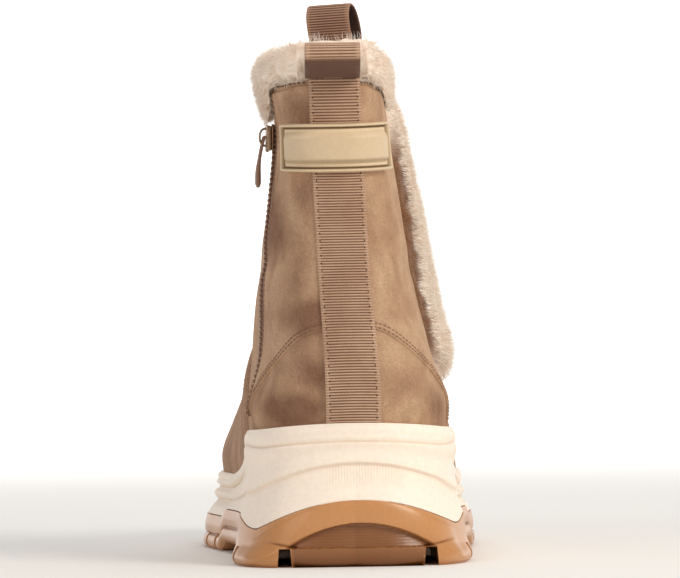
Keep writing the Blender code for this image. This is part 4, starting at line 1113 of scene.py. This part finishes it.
def sliderFrame():    # across the zip, up along it and away from the boot, in table millimetres
    z = zipLook["sliderZ"] - np.array([0.0, zipLook["sliderDrop"]])
    turn = zipLine(z)
    rise = riseAt(turn, z)
    points = upperPoints(turn, rise)
    away = upperNormals(turn[0], rise[0])
    upward = unit(points[0] - points[1])
    across = unit(np.cross(upward, away))
    return points[0] + away * zipLook["sliderHigh"], across, np.cross(away, across), away


def softBox(size, middle, taper=1.0, bevel=0.35):
    shape = bmesh.new()
    bmesh.ops.create_cube(shape, size=1.0)
    for vert in shape.verts:
        narrow = taper if vert.co.y < 0 else 1.0
        scaled = Vector((vert.co.x * size[0] * narrow, vert.co.y * size[1], vert.co.z * size[2]))
        vert.co = scaled + Vector(middle)
    bmesh.ops.bevel(shape, geom=shape.edges[:], offset=bevel, segments=3, profile=0.5, affect="EDGES")
    points = np.array([vert.co[:] for vert in shape.verts])
    faces = [[vert.index for vert in face.verts] for face in shape.faces]
    shape.free()
    return points, faces


def tubeAlong(path, wide, thick, sides=12):    # a rounded strip along a path in the local frame's y-z plane
    along = unit(np.gradient(path, axis=0))
    aside = np.array([1.0, 0.0, 0.0])
    angles = np.linspace(0.0, fullTurn, sides, endpoint=False)
    rings = []
    for at, point in enumerate(path):
        facing = np.cross(aside, along[at])
        rings.append([point + aside * wide[at] * 0.5 * rounded(np.cos(a), 0.6)
                      + facing * thick[at] * 0.5 * rounded(np.sin(a), 0.8) for a in angles])
    faces = gridFaces(len(rings), sides, wrap=True).tolist()
    faces += [list(range(sides))[::-1], list(range((len(rings) - 1) * sides, len(rings) * sides))]
    return np.array(rings).reshape(-1, 3), faces


def joinShapes(name, shapes, place, material):
    points, faces, count = [], [], 0
    for some, their in shapes:
        faces += [[index + count for index in face] for face in their]
        points.append(some)
        count += len(some)
    piece = makePiece(name, place(np.concatenate(points)), faces, material, sharp=45.0)
    faceOutwards(piece)
    return piece


sliderLook = {
    # size, middle, how much narrower at the foot, and bevel
    "boxes": (((7.4, 10.2, 1.0), (0.0, 0.0, 1.5), 0.78, 0.4), ((6.4, 9.0, 0.8), (0.0, 0.0, -0.4), 0.78, 0.3),
              ((1.6, 4.6, 2.0), (0.0, 2.4, 0.5), 1.0, 0.3), ((0.7, 9.4, 1.5), (-3.2, 0.2, 0.9), 1.0, 0.25),
              ((0.7, 9.4, 1.5), (3.2, 0.2, 0.9), 1.0, 0.25)),
    "bridgeWide": 1.7, "bridgeThick": 0.9, "pinUp": 0.5, "pinAway": 2.7,
}
pullLook = {"pinHalf": 2.9, "pinRadius": 0.5, "length": 19.0, "bow": 2.3, "armAside": 2.3, "armWide": 1.2,
            "armThick": 1.0, "steps": 26, "armSteps": 10, "bodyStart": 7}


def makeSlider(finish):
    s, p = sliderLook, pullLook
    origin, across, upward, away = sliderFrame()

    def place(local):
        return origin + local[:, :1] * across + local[:, 1:2] * upward + local[:, 2:] * away

    arch = np.linspace(0.0, math.pi, 15)
    bridge = np.stack([0.0 * arch, 0.5 + 3.3 * np.cos(arch), 1.5 + 2.8 * np.sin(arch) ** 0.7], axis=-1)
    shapes = [softBox(*box) for box in s["boxes"]]
    shapes.append(tubeAlong(bridge, s["bridgeWide"] + 0.0 * arch, s["bridgeThick"] + 0.0 * arch))
    slider = joinShapes("zipSlider", shapes, place, finish["slider"])
    finishPiece(slider, stands=("zip_slider",))

    # the pull hangs plumb from its pin, bowed away from the boot: two arms, then one body
    pin = origin + upward * s["pinUp"] + away * s["pinAway"]
    side, out = (unit(axis * np.array([1.0, 1.0, 0.0])) for axis in (across, away))

    def hang(local):
        return pin + local[:, :1] * side + local[:, 1:2] * up + local[:, 2:] * out

    ring = np.linspace(0.0, fullTurn, 10, endpoint=False)
    rod = np.array([[(x, p["pinRadius"] * math.cos(a), p["pinRadius"] * math.sin(a)) for a in ring]
                    for x in np.linspace(-p["pinHalf"], p["pinHalf"], 5)])
    rodFaces = gridFaces(5, 10, wrap=True).tolist() + [list(range(10)), list(range(40, 50))]
    drop = np.linspace(0.0, 1.0, p["steps"])
    bow = p["bow"] * np.sin(np.minimum(drop * 1.25, 1.0) * math.pi / 2) + 0.2 * drop
    count = p["armSteps"]
    arms = []
    for sign in (-1.0, 1.0):
        aside = np.full(count, sign * p["armAside"])
        path = np.stack([aside, -p["length"] * drop[:count], bow[:count]], axis=-1)
        arms.append(tubeAlong(path, np.full(count, p["armWide"]), np.full(count, p["armThick"])))
    first = p["bodyStart"]
    body = np.stack([0.0 * drop[first:], -p["length"] * drop[first:], bow[first:]], axis=-1)
    share = np.linspace(0.0, 1.0, len(body))
    wide = 5.4 + 1.2 * ease(share, 0.0, 0.7) - 2.2 * ease(share, 0.88, 1.0)
    thick = 1.2 + 0.9 * ease(share, 0.1, 0.75) - 1.1 * ease(share, 0.9, 1.0)
    pull = joinShapes("zipPull", [(rod.reshape(-1, 3), rodFaces), *arms, tubeAlong(body, wide, thick, 16)],
                      hang, finish["pull"])
    finishPiece(pull, "pull", ("zip_pull",))


def soleGrid(levels, turns, shares, bottom, top):    # a wall round the sole, and its outward directions
    turn, share = np.meshgrid(turns, shares)
    flat, outward = planPoint(turn), planOutward(turn)
    table = np.array(levels)
    heel, ball, corner = (throughTable(table[:, [0, column]], share) for column in (1, 2, 3))
    wider = np.where(flat[..., 0] < 0.0, soleShape["innerFlare"], 1.0)
    reach = blend(heel, ball * wider, ease(flat[..., 1], *soleShape["flareSpan"]))
    corners = np.maximum(0.0, -outward[..., 1]) * np.abs(outward[..., 0]) * 2.0
    place = flat + outward * (reach + corners * corner)[..., None]
    x, y = place[..., 0], place[..., 1]
    z = blend(bottom(x, y), top(x, y), share)
    return np.stack([x, y, z], axis=-1), outward


def denseTurns(fine, plain, middle=0.045):    # closer columns across the back of the heel
    back = np.linspace(-middle, middle, fine, endpoint=False)
    return np.concatenate((back, np.linspace(middle, 1.0 - middle, plain, endpoint=False)))


midsoleLook = {
    "fine": 190, "plain": 330, "rows": 110, "rearFade": (20.0, 46.0),
    # under the rim: a groove at a depth below it along the sides and at the heel, then a band that swells
    "grooveAt": (5.6, 6.9), "groove": 0.95, "sideGroove": 0.5, "band": 0.55,
    # height of the ridge along the sides, as y and z, and its arch across the heel
    "ridge": ((0.0, 27.0), (40.0, 27.0), (60.0, 27.0), (100.0, 24.5), (135.0, 21.0),
              (170.0, 20.0), (215.0, 20.5), (290.0, 29.0)),
    "ridgeTop": 38.2, "ridgeFall": 6.2, "ledge": 0.95, "sideLedge": 0.35,
    # fine ribs under the ridge at the heel: middle, and how they end at the sides and below
    "ribPitch": 1.1, "ribDepth": 0.16, "ribMiddle": 4.5, "ribSides": (12.5, 16.5), "ribFoot": (6.0, 10.5),
    # two flutes along each side, above and below the ridge, and the y they run between
    "flutes": (3.6, -4.4), "fluteDrop": 2.5, "fluteDepth": 0.5, "fluteStart": (34.0, 60.0),
    "fluteEnd": (215.0, 255.0), "innerFlute": 0.35,
    "grooveShade": 0.55, "ridgeShade": 0.28, "ribShade": 0.22,
    "topRings": ((-1.1, 0.0), (0.4, 0.25), (2.2, 2.6), (7.5, 4.0)),    # inset and drop inside the rim
}


def undercut(above, over, under):    # 1 at the line, easing off above it and returning sharply below it
    return ease(above, over, 0.0) * ease(above, -under, 0.0)


def foamRim(x, y):    # a raised edge hides the foot of the suede ahead of the heel
    return soleTop(x, y) + soleShape["rim"] * ease(y, *soleShape["rimSpan"])


def foamFoot(x, y):
    return outsoleTop(x, y) + soleShape["gap"]


def makeMidsole(finish):
    m = midsoleLook
    turns = denseTurns(m["fine"], m["plain"])
    shares = np.linspace(0.0, 1.0, m["rows"])
    points, outward = soleGrid(soleShape["midsoleLevels"], turns, shares, foamFoot, foamRim)
    x, y, z = np.moveaxis(points, -1, 0)
    rear = fade(y, *m["rearFade"])
    groove = foamRim(x, y) - blend(*m["grooveAt"], rear)
    arch = m["ridgeTop"] - m["ridgeFall"] * (np.abs(x - 1.0) / 30.0) ** 2
    ridge = blend(throughTable(m["ridge"], y), arch, rear)
    # the band swells towards the ridge, below which the wall steps in and then slopes out to the rubber
    line = undercut(z - groove, 2.0, 0.6)
    band = ease(z, groove - 1.0, ridge + 2.0) * ease(z, ridge - 0.5, ridge + 0.6)
    step = fade(z, ridge - 0.7, ridge + 0.3) * ease(z, ridge - 14.0, ridge - 1.5)
    shift = -m["groove"] * line * blend(m["sideGroove"], 1.0, rear) + m["band"] * band
    shift = shift - m["ledge"] * step * blend(m["sideLedge"], 1.0, rear)
    ribs = ribProfile(x, m["ribPitch"])
    ribbed = rear * fade(np.abs(x - m["ribMiddle"]), *m["ribSides"])
    ribbed = ribbed * ease(ridge - z, 0.4, 1.2) * fade(ridge - z, *m["ribFoot"])
    shift = shift - m["ribDepth"] * ribs * ribbed
    side = ease(y, *m["fluteStart"]) * fade(y, *m["fluteEnd"]) * blend(m["innerFlute"], 1.0, x > 0.0)
    for rise in m["flutes"]:
        flute = ridge + rise - m["fluteDrop"] * ease(y, 60.0, 150.0) * np.sign(rise)
        shift = shift - m["fluteDepth"] * side * undercut(z - flute, 3.0, 1.6)
    points[..., :2] += outward * shift[..., None]
    # painted shade in the groove under the rim, under the ridge and between the fine ribs
    paintedShade = within(m["grooveShade"] * undercut(z - groove, 0.9, 0.35)
                    + m["ridgeShade"] * bell(ridge - z - 0.5, 0.8) + m["ribShade"] * ribs * ribbed)

    rings, creasesOf = [points], [paintedShade]
    for inset, dropped in m["topRings"]:
        flat = planPoint(turns) - planOutward(turns) * inset
        rings.append(np.column_stack((flat, foamRim(flat[:, 0], flat[:, 1]) - dropped))[None])
        creasesOf.append(np.zeros((1, len(turns))))
    sole = closedSole("foamMidsole", np.concatenate(rings), turns, finish["foam"], np.concatenate(creasesOf))
    finishPiece(sole, stands=("midsole",))


def closedSole(name, points, turns, material, paintedShade):    # rings of points, closed at both ends
    rows, columns = points.shape[:2]
    piece = makePiece(name, points, gridFaces(rows, columns, wrap=True), material, {"paintedShade": paintedShade})
    shape = bmesh.new()
    shape.from_mesh(piece.data)
    shape.verts.ensure_lookup_table()
    order = np.argsort(turns % 1.0, kind="stable")
    for start in (0, (rows - 1) * columns):
        ring = [shape.verts[start + int(at)] for at in order]
        shape.faces.new((ring[0], ring[1], ring[-1]))
        low, high = 1, columns - 1
        while high - low > 2:    # rungs across the sole
            shape.faces.new((ring[low], ring[low + 1], ring[high - 1], ring[high]))
            low, high = low + 1, high - 1
        shape.faces.new(ring[low:high + 1])
    bmesh.ops.recalc_face_normals(shape, faces=shape.faces)
    shape.to_mesh(piece.data)
    shape.free()
    piece.data.set_sharp_from_angle(angle=math.radians(55.0))
    return piece


outsoleLook = {
    "fine": 150, "plain": 290, "rows": 90,
    "lugTop": 7.1, "rearFade": (16.0, 26.0), "cornerFade": (30.0, 60.0),
    # the arched recess over the middle lug, with fine lines in it and a bulge of rubber above
    "recessHigh": 16.2, "recessHalf": 28.0, "recess": 2.3, "middle": 2.0, "linePitch": 1.1, "lineDepth": 0.05,
    "bulge": 0.8, "bulgeHalf": 4.8,
    # the middle lug leans in under the arch; the corner lugs flare out over a short fork of creases
    "centreLug": (-23.9, 26.0), "lugIn": 0.9, "lugLean": 0.34, "cornerOut": 1.1, "fork": 0.7,
    # the forefoot's rubber is in two bands with a groove between them
    "foreSpan": (92.0, 120.0), "bandSplit": 5.9, "splitDepth": 0.9, "upperBand": 0.5, "footRound": 1.1,
    "recessShade": 0.72, "lineShade": 0.06, "forkShade": 0.5, "lugShade": (0.9, 0.62),
    # slots cut in the tread: two along the heel, then pairs from the sides
    "slotX": (-26.2, 27.9), "slotEnd": 84.0, "slotPast": 40.0, "slot": 4.2, "depth": 6.4, "draught": 1.2,
    "crossY": (36.0, 62.0, 152.0, 172.0, 192.0, 212.0, 232.0, 252.0),
    "crossStart": (33.0, 14.0), "crossLength": 56.0, "crossWidth": 4.0,
}


def cutSlots(sole):
    o = outsoleLook
    deep = 2.0 * (o["depth"] + 0.5)
    length, middleY = o["slotEnd"] + o["slotPast"], 0.5 * (o["slotEnd"] - o["slotPast"])
    cutters = [((o["slot"], length, deep), (at, middleY, 0.0)) for at in o["slotX"]]
    for at in o["crossY"]:
        start = o["crossStart"][0 if at < o["slotEnd"] else 1] + 0.5 * o["crossLength"]
        cutters += [((o["crossLength"], o["crossWidth"], deep), (side * start, at, float(floorLift(at))))
                    for side in (-1, 1)]
    corner = np.array([[sx, sy, sz] for sx in (-1, 1) for sy in (-1, 1) for sz in (-1, 1)], float)
    faces = [(0, 1, 3, 2), (4, 6, 7, 5), (0, 4, 5, 1), (2, 3, 7, 6), (0, 2, 6, 4), (1, 5, 7, 3)]
    helpers = []
    for number, (size, middle) in enumerate(cutters):
        half = 0.5 * np.array(size)
        box = corner * half
        box[corner[:, 2] < 0, :2] *= 1.0 + o["draught"] / half[:2]    # opens a little towards the floor
        cutter = makePiece(f"slotCutter{number}", box + middle, faces, None)
        cut = sole.modifiers.new(f"slot{number}", "BOOLEAN")
        cut.operation, cut.solver, cut.object = "DIFFERENCE", "MANIFOLD", cutter
        helpers.append(cutter)
    mesh = bpy.data.meshes.new_from_object(sole.evaluated_get(bpy.context.evaluated_depsgraph_get()))
    sole.modifiers.clear()
    sole.data = mesh
    for helper in helpers:
        bpy.data.objects.remove(helper, do_unlink=True)
    mesh.set_sharp_from_angle(angle=math.radians(40.0))


def makeOutsole(finish):
    o = outsoleLook
    turns = denseTurns(o["fine"], o["plain"], 0.06)
    shares = np.concatenate(([0.0, 0.015], np.linspace(0.04, 1.0, o["rows"])))
    points, outward = soleGrid(soleShape["outsoleLevels"], turns, shares,
                               lambda x, y: floorLift(y), outsoleTop)
    x, y, z = np.moveaxis(points, -1, 0)
    lift = floorLift(y)
    rear = fade(y, *o["rearFade"])
    apart = np.abs(x - o["middle"])
    top = o["lugTop"]
    archZ = o["recessHigh"] - (o["recessHigh"] - top) * (apart / o["recessHalf"]) ** 2
    recess = ease(archZ - z, -0.1, 0.35) * ease(z, top - 0.2, top + 0.25) * rear
    recess = recess * (apart < o["recessHalf"])
    lines = recess * ribProfile(z, o["linePitch"])
    bulge = (z - 0.5 * (archZ + outsoleTop(x, y)) + 0.4) / o["bulgeHalf"]
    bulge = np.sqrt(within(1.0 - bulge ** 2)) * rear
    low = (z < top) * rear
    left, right = o["centreLug"]
    centre = ease(x, left - 1.5, left) * fade(x, right, right + 1.5)
    shift = -o["recess"] * recess - o["lineDepth"] * lines + o["bulge"] * bulge
    shift = shift - low * centre * (o["lugIn"] + o["lugLean"] * (top - z))
    corner = (1.0 - centre) * fade(y, *o["cornerFade"])
    shift = shift + o["cornerOut"] * corner * ease(z, 8.5, 2.5)
    fork = bell(z - top - 0.22 * (apart - 24.0), 0.45) * ease(apart, 24.0, 25.0) * fade(apart, 30.0, 36.0)
    shift = shift - o["fork"] * fork * rear
    fore = ease(y, *o["foreSpan"])
    split = bell(z - lift - o["bandSplit"], 0.55)
    shift = shift - o["splitDepth"] * split * fore + o["upperBand"] * bell(z - lift - 9.5, 2.6) * fore
    shift = shift - o["footRound"] * bell(z - lift, 0.8)
    points[..., :2] += outward * shift[..., None]
    # painted shade in the arched recess and its lines, in the forefoot's groove and the fork, and on the
    # middle lug's face, darker towards its foot
    paintedShade = o["recessShade"] * recess + o["lineShade"] * lines + o["forkShade"] * split * fore
    paintedShade = paintedShade + low * centre * blend(*o["lugShade"], within(z / 7.0))
    paintedShade = within(paintedShade + o["forkShade"] * fork * rear)
    sole = closedSole("gumOutsole", points, turns, finish["gum"], paintedShade)
    cutSlots(sole)
    finishPiece(sole, stands=("outsole",))


pileLook = {
    "collar": {"length": 3.4, "density": 1.2e6, "lean": 0.22, "seed": 4},
    "band": {"length": 3.2, "density": 1.9e6, "lean": 0.3, "seed": 9},
    "footbed": {"length": 3.0, "density": 0.25e6, "lean": 0.5, "seed": 12},
    "thickness": 0.026, "tousle": 1.5, "tuft": 260.0, "under": 1.1, "pressedUnder": 1.3,
    # round the collar by turn: how far the pile stands out, hangs down and stands up
    "reach": ((0.0, 4.4), (0.12, 4.6), (0.25, 4.5), (0.5, 6.2), (0.75, 5.5), (0.83, 5.4), (0.92, 4.8),
              (1.0, 4.4)),
    "droop": ((0.0, -2.3), (0.08, -2.3), (0.13, -0.8), (0.17, 2.5), (0.22, 7.0), (0.40, 7.0), (0.5, 1.5),
              (0.60, 7.0), (0.74, 13.0), (0.78, 10.0), (0.81, 3.0), (0.84, -1.0), (0.90, -2.3), (1.0, -2.3)),
    "high": ((0.0, 17.2), (0.06, 17.8), (0.10, 16.4), (0.13, 15.0), (0.16, 13.2), (0.20, 12.0), (0.25, 11.5),
             (0.5, 15.6), (0.70, 12.8), (0.77, 12.4), (0.84, 13.4), (0.88, 15.0), (0.92, 16.4), (1.0, 17.2)),
    "pressSpan": (9.4, 11.2),    # from a pull loop's middle, where it stops pressing the pile flat
    "patch": 8.0, "tuftPatch": 4.0,    # sizes of the unevenness under the strands
}


def collarSection(turn):    # closed outlines of the pile's tips round the collar, one for each turn
    reach, droop, high = (throughTable(pileLook[key], turn) for key in ("reach", "droop", "high"))
    seam = upperPoints(turn, collarRise)
    outward = unit(upperNormals(turn, collarRise) * np.array([1.0, 1.0, 0.0]))
    hang, lift = np.maximum(droop, 0.0), np.minimum(droop, 0.0)
    below = upperPoints(turn, collarRise - 0.5)
    slant = ((below - seam) * outward).sum(-1) / (seam - below)[..., 2] * hang
    fromLoop = np.minimum(*(np.linalg.norm(seam - upperPoints(at, collarRise), axis=-1)
                            for at, _, _ in loopSet.values()))
    press = fade(fromLoop, *pileLook["pressSpan"])
    inside = ((-5.8, 1.0), (-6.4, 5.0), (-5.2, 10.0), (-2.4, high - 1.2))
    free = inside + (
        (0.6, high), (reach * 0.60, high - 2.2), (reach * 0.92, high - 6.0), (reach, 3.6 - 0.9 * lift),
        (reach * 0.86 + 0.6 * slant, 1.6 - 0.5 * hang - 0.7 * lift), (reach * 0.45 + slant, -droop - 0.4),
        (reach * 0.16 + slant, -0.4 - 0.97 * hang - 0.9 * lift),
        (0.5 + 0.85 * slant, 0.8 - 0.8 * hang - 0.3 * lift), (0.3 + 0.35 * slant, 0.6 - 0.35 * hang))
    pressed = inside + (
        (0.2, high - 0.2), (2.2, high - 1.6), (2.9, 10.6), (2.6, 8.6), (1.9, 6.8), (1.2, 5.4), (0.8, 4.2),
        (0.5, 3.0), (0.1, 1.6))
    free, pressed = (np.array([[value + 0.0 * turn for value in point] for point in shape])
                     for shape in (free, pressed))
    outline = blend(free, pressed, press)    # point, out or up, turn
    count, steps = len(outline), 4
    shares = np.arange(steps)[None, :, None, None] / steps
    around = [np.roll(outline, shift, axis=0)[:, None] for shift in (1, 0, -1, -2)]
    out, rise = np.moveaxis(catmull(*around, shares).reshape(count * steps, 2, -1), 1, 0)
    return seam[:, None, :] + out.T[..., None] * outward[:, None, :] + rise.T[..., None] * up, press


def gridNormals(points, wrapColumns=True):
    along = np.roll(points, -1, axis=0) - np.roll(points, 1, axis=0)
    if wrapColumns:
        around = np.roll(points, -1, axis=1) - np.roll(points, 1, axis=1)
    else:
        around = np.gradient(points, axis=1)
    return unit(np.cross(along, around)), unit(around)


def growPile(name, key, base, tree, finish, stands):    # strands on a copy of the backing, then both finished
    look = pileLook[key]
    faceOutwards(base)
    source = base.copy()
    source.data = base.data.copy()
    bpy.context.scene.collection.objects.link(source)
    strands = growNodes(name + "Strands", source, tree, {
        "Density": look["density"], "Length": look["length"] * mm, "Thickness": pileLook["thickness"],
        "Lean": look["lean"], "Tousle": pileLook["tousle"], "Tuft Size": pileLook["tuft"],
        "Seed": look["seed"], "Material": finish["pile"]})
    for mesh in (base.data, strands.data):
        for unused in ("amount", "flow"):
            if unused in mesh.attributes:
                mesh.attributes.remove(mesh.attributes[unused])
    finishPiece(base, stands=stands)
    finishPiece(strands)


def bumpy(points, normals, seed, inset):
    bumps = 0.55 * ripple(points, pileLook["patch"], seed)
    bumps = bumps + 0.45 * ripple(points, pileLook["tuftPatch"], seed + 1)
    return points + normals * (bumps - inset)[..., None]


def makeCollarPile(tree, finish):
    count = 240
    turn = np.arange(count) / count
    tips, press = collarSection(turn)
    normals, along = gridNormals(tips)
    normals = -normals    # the outline runs over the top, so its own normals point in
    columns = tips.shape[1]
    place = np.arange(columns) / columns * 13.0    # counts the outline's points
    inset = blend(pileLook["under"], pileLook["pressedUnder"], press)[:, None] * np.ones(columns)
    points = bumpy(tips, normals, pileLook["collar"]["seed"], inset)
    # near the seam the strands thin and the backing shows brown, with painted shade where the pile meets the
    # suede
    near = np.broadcast_to(within(bell(place - 12.3, 1.0) + bell(place + 0.7, 1.0)), inset.shape)
    outer = np.where(place < 4.0, -1.0, 1.0)[None, :, None]
    fields = {"flow": along * outer, "brownAndShade": 0.25 * near, "along": 0.5, "tone": 0.6,
              "amount": np.where(place < 3.0, 0.35, 1.0)[None, :] * (1.0 - near)}
    last = joinRing((count - 1) * columns + np.arange(columns), np.arange(columns))
    faces = np.concatenate((gridFaces(count, columns, wrap=True), last))
    backing = makePiece("collarPileBacking", points, faces, finish["pile"], fields)
    growPile("collarPile", "collar", backing, tree, finish, ("fur_collar",))


# its last four values place the brown backing and its painted shade along the band's rear edge
bandLook = {"z": (181.0, 68.0), "rows": 96, "columns": 34, "high": 9.0, "footRound": 0.12, "footSize": 0.35,
            "swell": (0.0, 60.0), "topRound": (0.0, 12.0), "brownAndShadeHigh": (3.9, 6.6), "brownAndShadeFoot": (64.0, 84.0),
            "brownAndShadeTop": (150.0, 172.0), "brownAndShadeRipple": 1.8}


def makeBandPile(tree, finish):
    b, f = bandLook, furPlace
    fall = np.linspace(0.0, 1.0, b["rows"])
    z = blend(*b["z"], fall)[:, None]
    share = (f["z"][0] - z) / (f["z"][0] - f["z"][1])
    across = np.sin(np.linspace(-0.5, 0.5, b["columns"]) * math.pi)[None, :]
    endShare = within((fall - 1.0 + b["footRound"]) / b["footRound"])
    narrow = np.sqrt(np.clip(1.0 - endShare ** 2, 0.01, 1.0))[:, None]
    y = f["y"] + f["drift"] * share + across * f["half"] * blend(b["footSize"], 1.0, narrow)
    bulge = np.sqrt(within(1.0 - np.abs(across) ** np.where(across < 0.0, 2.0, 3.0)))
    fromTop = b["z"][0] - z
    high = b["high"] * bulge * blend(0.3, 1.0, narrow)
    high = high * blend(1.0, 1.1, ease(fromTop, *b["swell"])) * blend(0.6, 1.0, ease(fromTop, *b["topRound"]))
    turn = turnAt(1, y, z)
    rise = riseAt(turn, z)
    face, away = upperPoints(turn, rise), upperNormals(turn, rise)
    top, low = face + away * high[..., None], face - away * 0.5
    normals, _ = gridNormals(top, wrapColumns=False)
    normals = normals * np.sign((normals * away).sum(-1, keepdims=True))
    bumps = bumpy(top, normals, 31, 0.0) - top
    top = top + (bumps - normals * pileLook["under"]) * within(high / 4.0)[..., None]
    # the backing shows brown along the rear edge, in gaps, deepened as painted shade where the quarter's edge
    # and the band's rear wall fall in shadow
    brownAndShade = fade(high + b["brownAndShadeRipple"] * ripple(top, pileLook["patch"], 37), *b["brownAndShadeHigh"])
    brownAndShade = brownAndShade * (across < 0.0) * ease(z, *b["brownAndShadeFoot"]) * fade(z, *b["brownAndShadeTop"])
    fields = {"flow": unit(0.25 * away - up), "brownAndShade": brownAndShade, "amount": blend(0.5, 1.0, ease(high, 2.6, 5.2)),
              "along": 0.45 + 0.35 * ease(high, 1.0, 6.5), "tone": 0.6}
    under = {**fields, "amount": np.zeros(high.shape)}    # no strands grow on its underside
    backing = slab("bandPileBacking", top, low, finish["pile"], fields, sharp=None, under=under)
    growPile("bandPile", "band", backing, tree, finish, ("fur_band",))


# how far out from the spine, how high, and how much pile: the underside, the edge, the top
footbedRings = ((0.02, 0.4, 0.0), (0.5, 0.4, 0.0), (0.97, 0.4, 0.0), (1.0, 1.2, 0.0), (1.0, 2.4, 0.6),
                (0.96, 3.6, 1.0), (0.7, 4.0, 1.0), (0.4, 4.0, 1.0), (0.02, 4.0, 1.0))


def makeFootbed(tree, finish):
    columns = 150
    turns = np.arange(columns) / columns
    flat = planPoint(turns) - planOutward(turns) * 8.6
    spine = np.stack([np.full(columns, -1.5), np.clip(flat[:, 1], 38.0, 246.0)], axis=-1)
    rings, amounts = [], []
    for share, high, some in footbedRings:
        place = spine + (flat - spine) * share
        rings.append(np.column_stack((place, soleTop(place[:, 0], place[:, 1]) - 1.5 + high)))
        amounts.append(np.full(columns, some))
    points = np.array(rings)
    points[5:] += (0.25 * ripple(points[5:], 5.0, 41))[..., None] * up
    amount = np.array(amounts).ravel()
    count, rows = len(amount), len(rings)
    faces = gridFaces(rows, columns, wrap=True).tolist()
    faces += [list(range(columns)), list(range(count - columns, count))]
    fields = {"flow": np.tile((0.0, 1.0, 0.0), (count, 1)), "brownAndShade": 0.1, "amount": amount, "along": 0.45,
              "tone": 0.5}
    backing = makePiece("footbedPileBacking", points, faces, finish["pile"], fields)
    growPile("footbedPile", "footbed", backing, tree, finish, ("insole",))


def makePile(finish):
    tree = pileTree()
    makeCollarPile(tree, finish)
    makeBandPile(tree, finish)
    makeFootbed(tree, finish)

    # the lining: a closed wall of pile inside the shaft and the foot
    u = upperLook
    turn, rise = np.meshgrid(np.arange(200) / 200.0, np.linspace(0.35, collarRise - 0.05, 90))
    surface = upperPoints(turn, rise)
    bumps = 0.55 * ripple(surface, 6.0, 21) + 0.35 * ripple(surface, 3.2, 22)
    fields = {"along": 0.45 + 0.25 * bumps, "tone": 0.5, "brownAndShade": 0.15}
    lining = slab("lining", suedePoints(turn, rise, u["liningOut"]),
                  suedePoints(turn, rise, u["liningIn"] + bumps), finish["pile"], fields, wrap=True)
    finishPiece(lining)


makeStage()
print("stage made")
finishes = makeMaterials()
print("materials made")
for stageName, make in (
        ("upper", makeUpper), ("vamp", makeVamp), ("strap", makeStrap), ("loops", makeLoops),
        ("badge", makeBadge), ("zip", makeZip), ("slider and pull", makeSlider), ("midsole", makeMidsole),
        ("outsole", makeOutsole), ("pile", makePile)):
    make(finishes)
    print(stageName, "made")
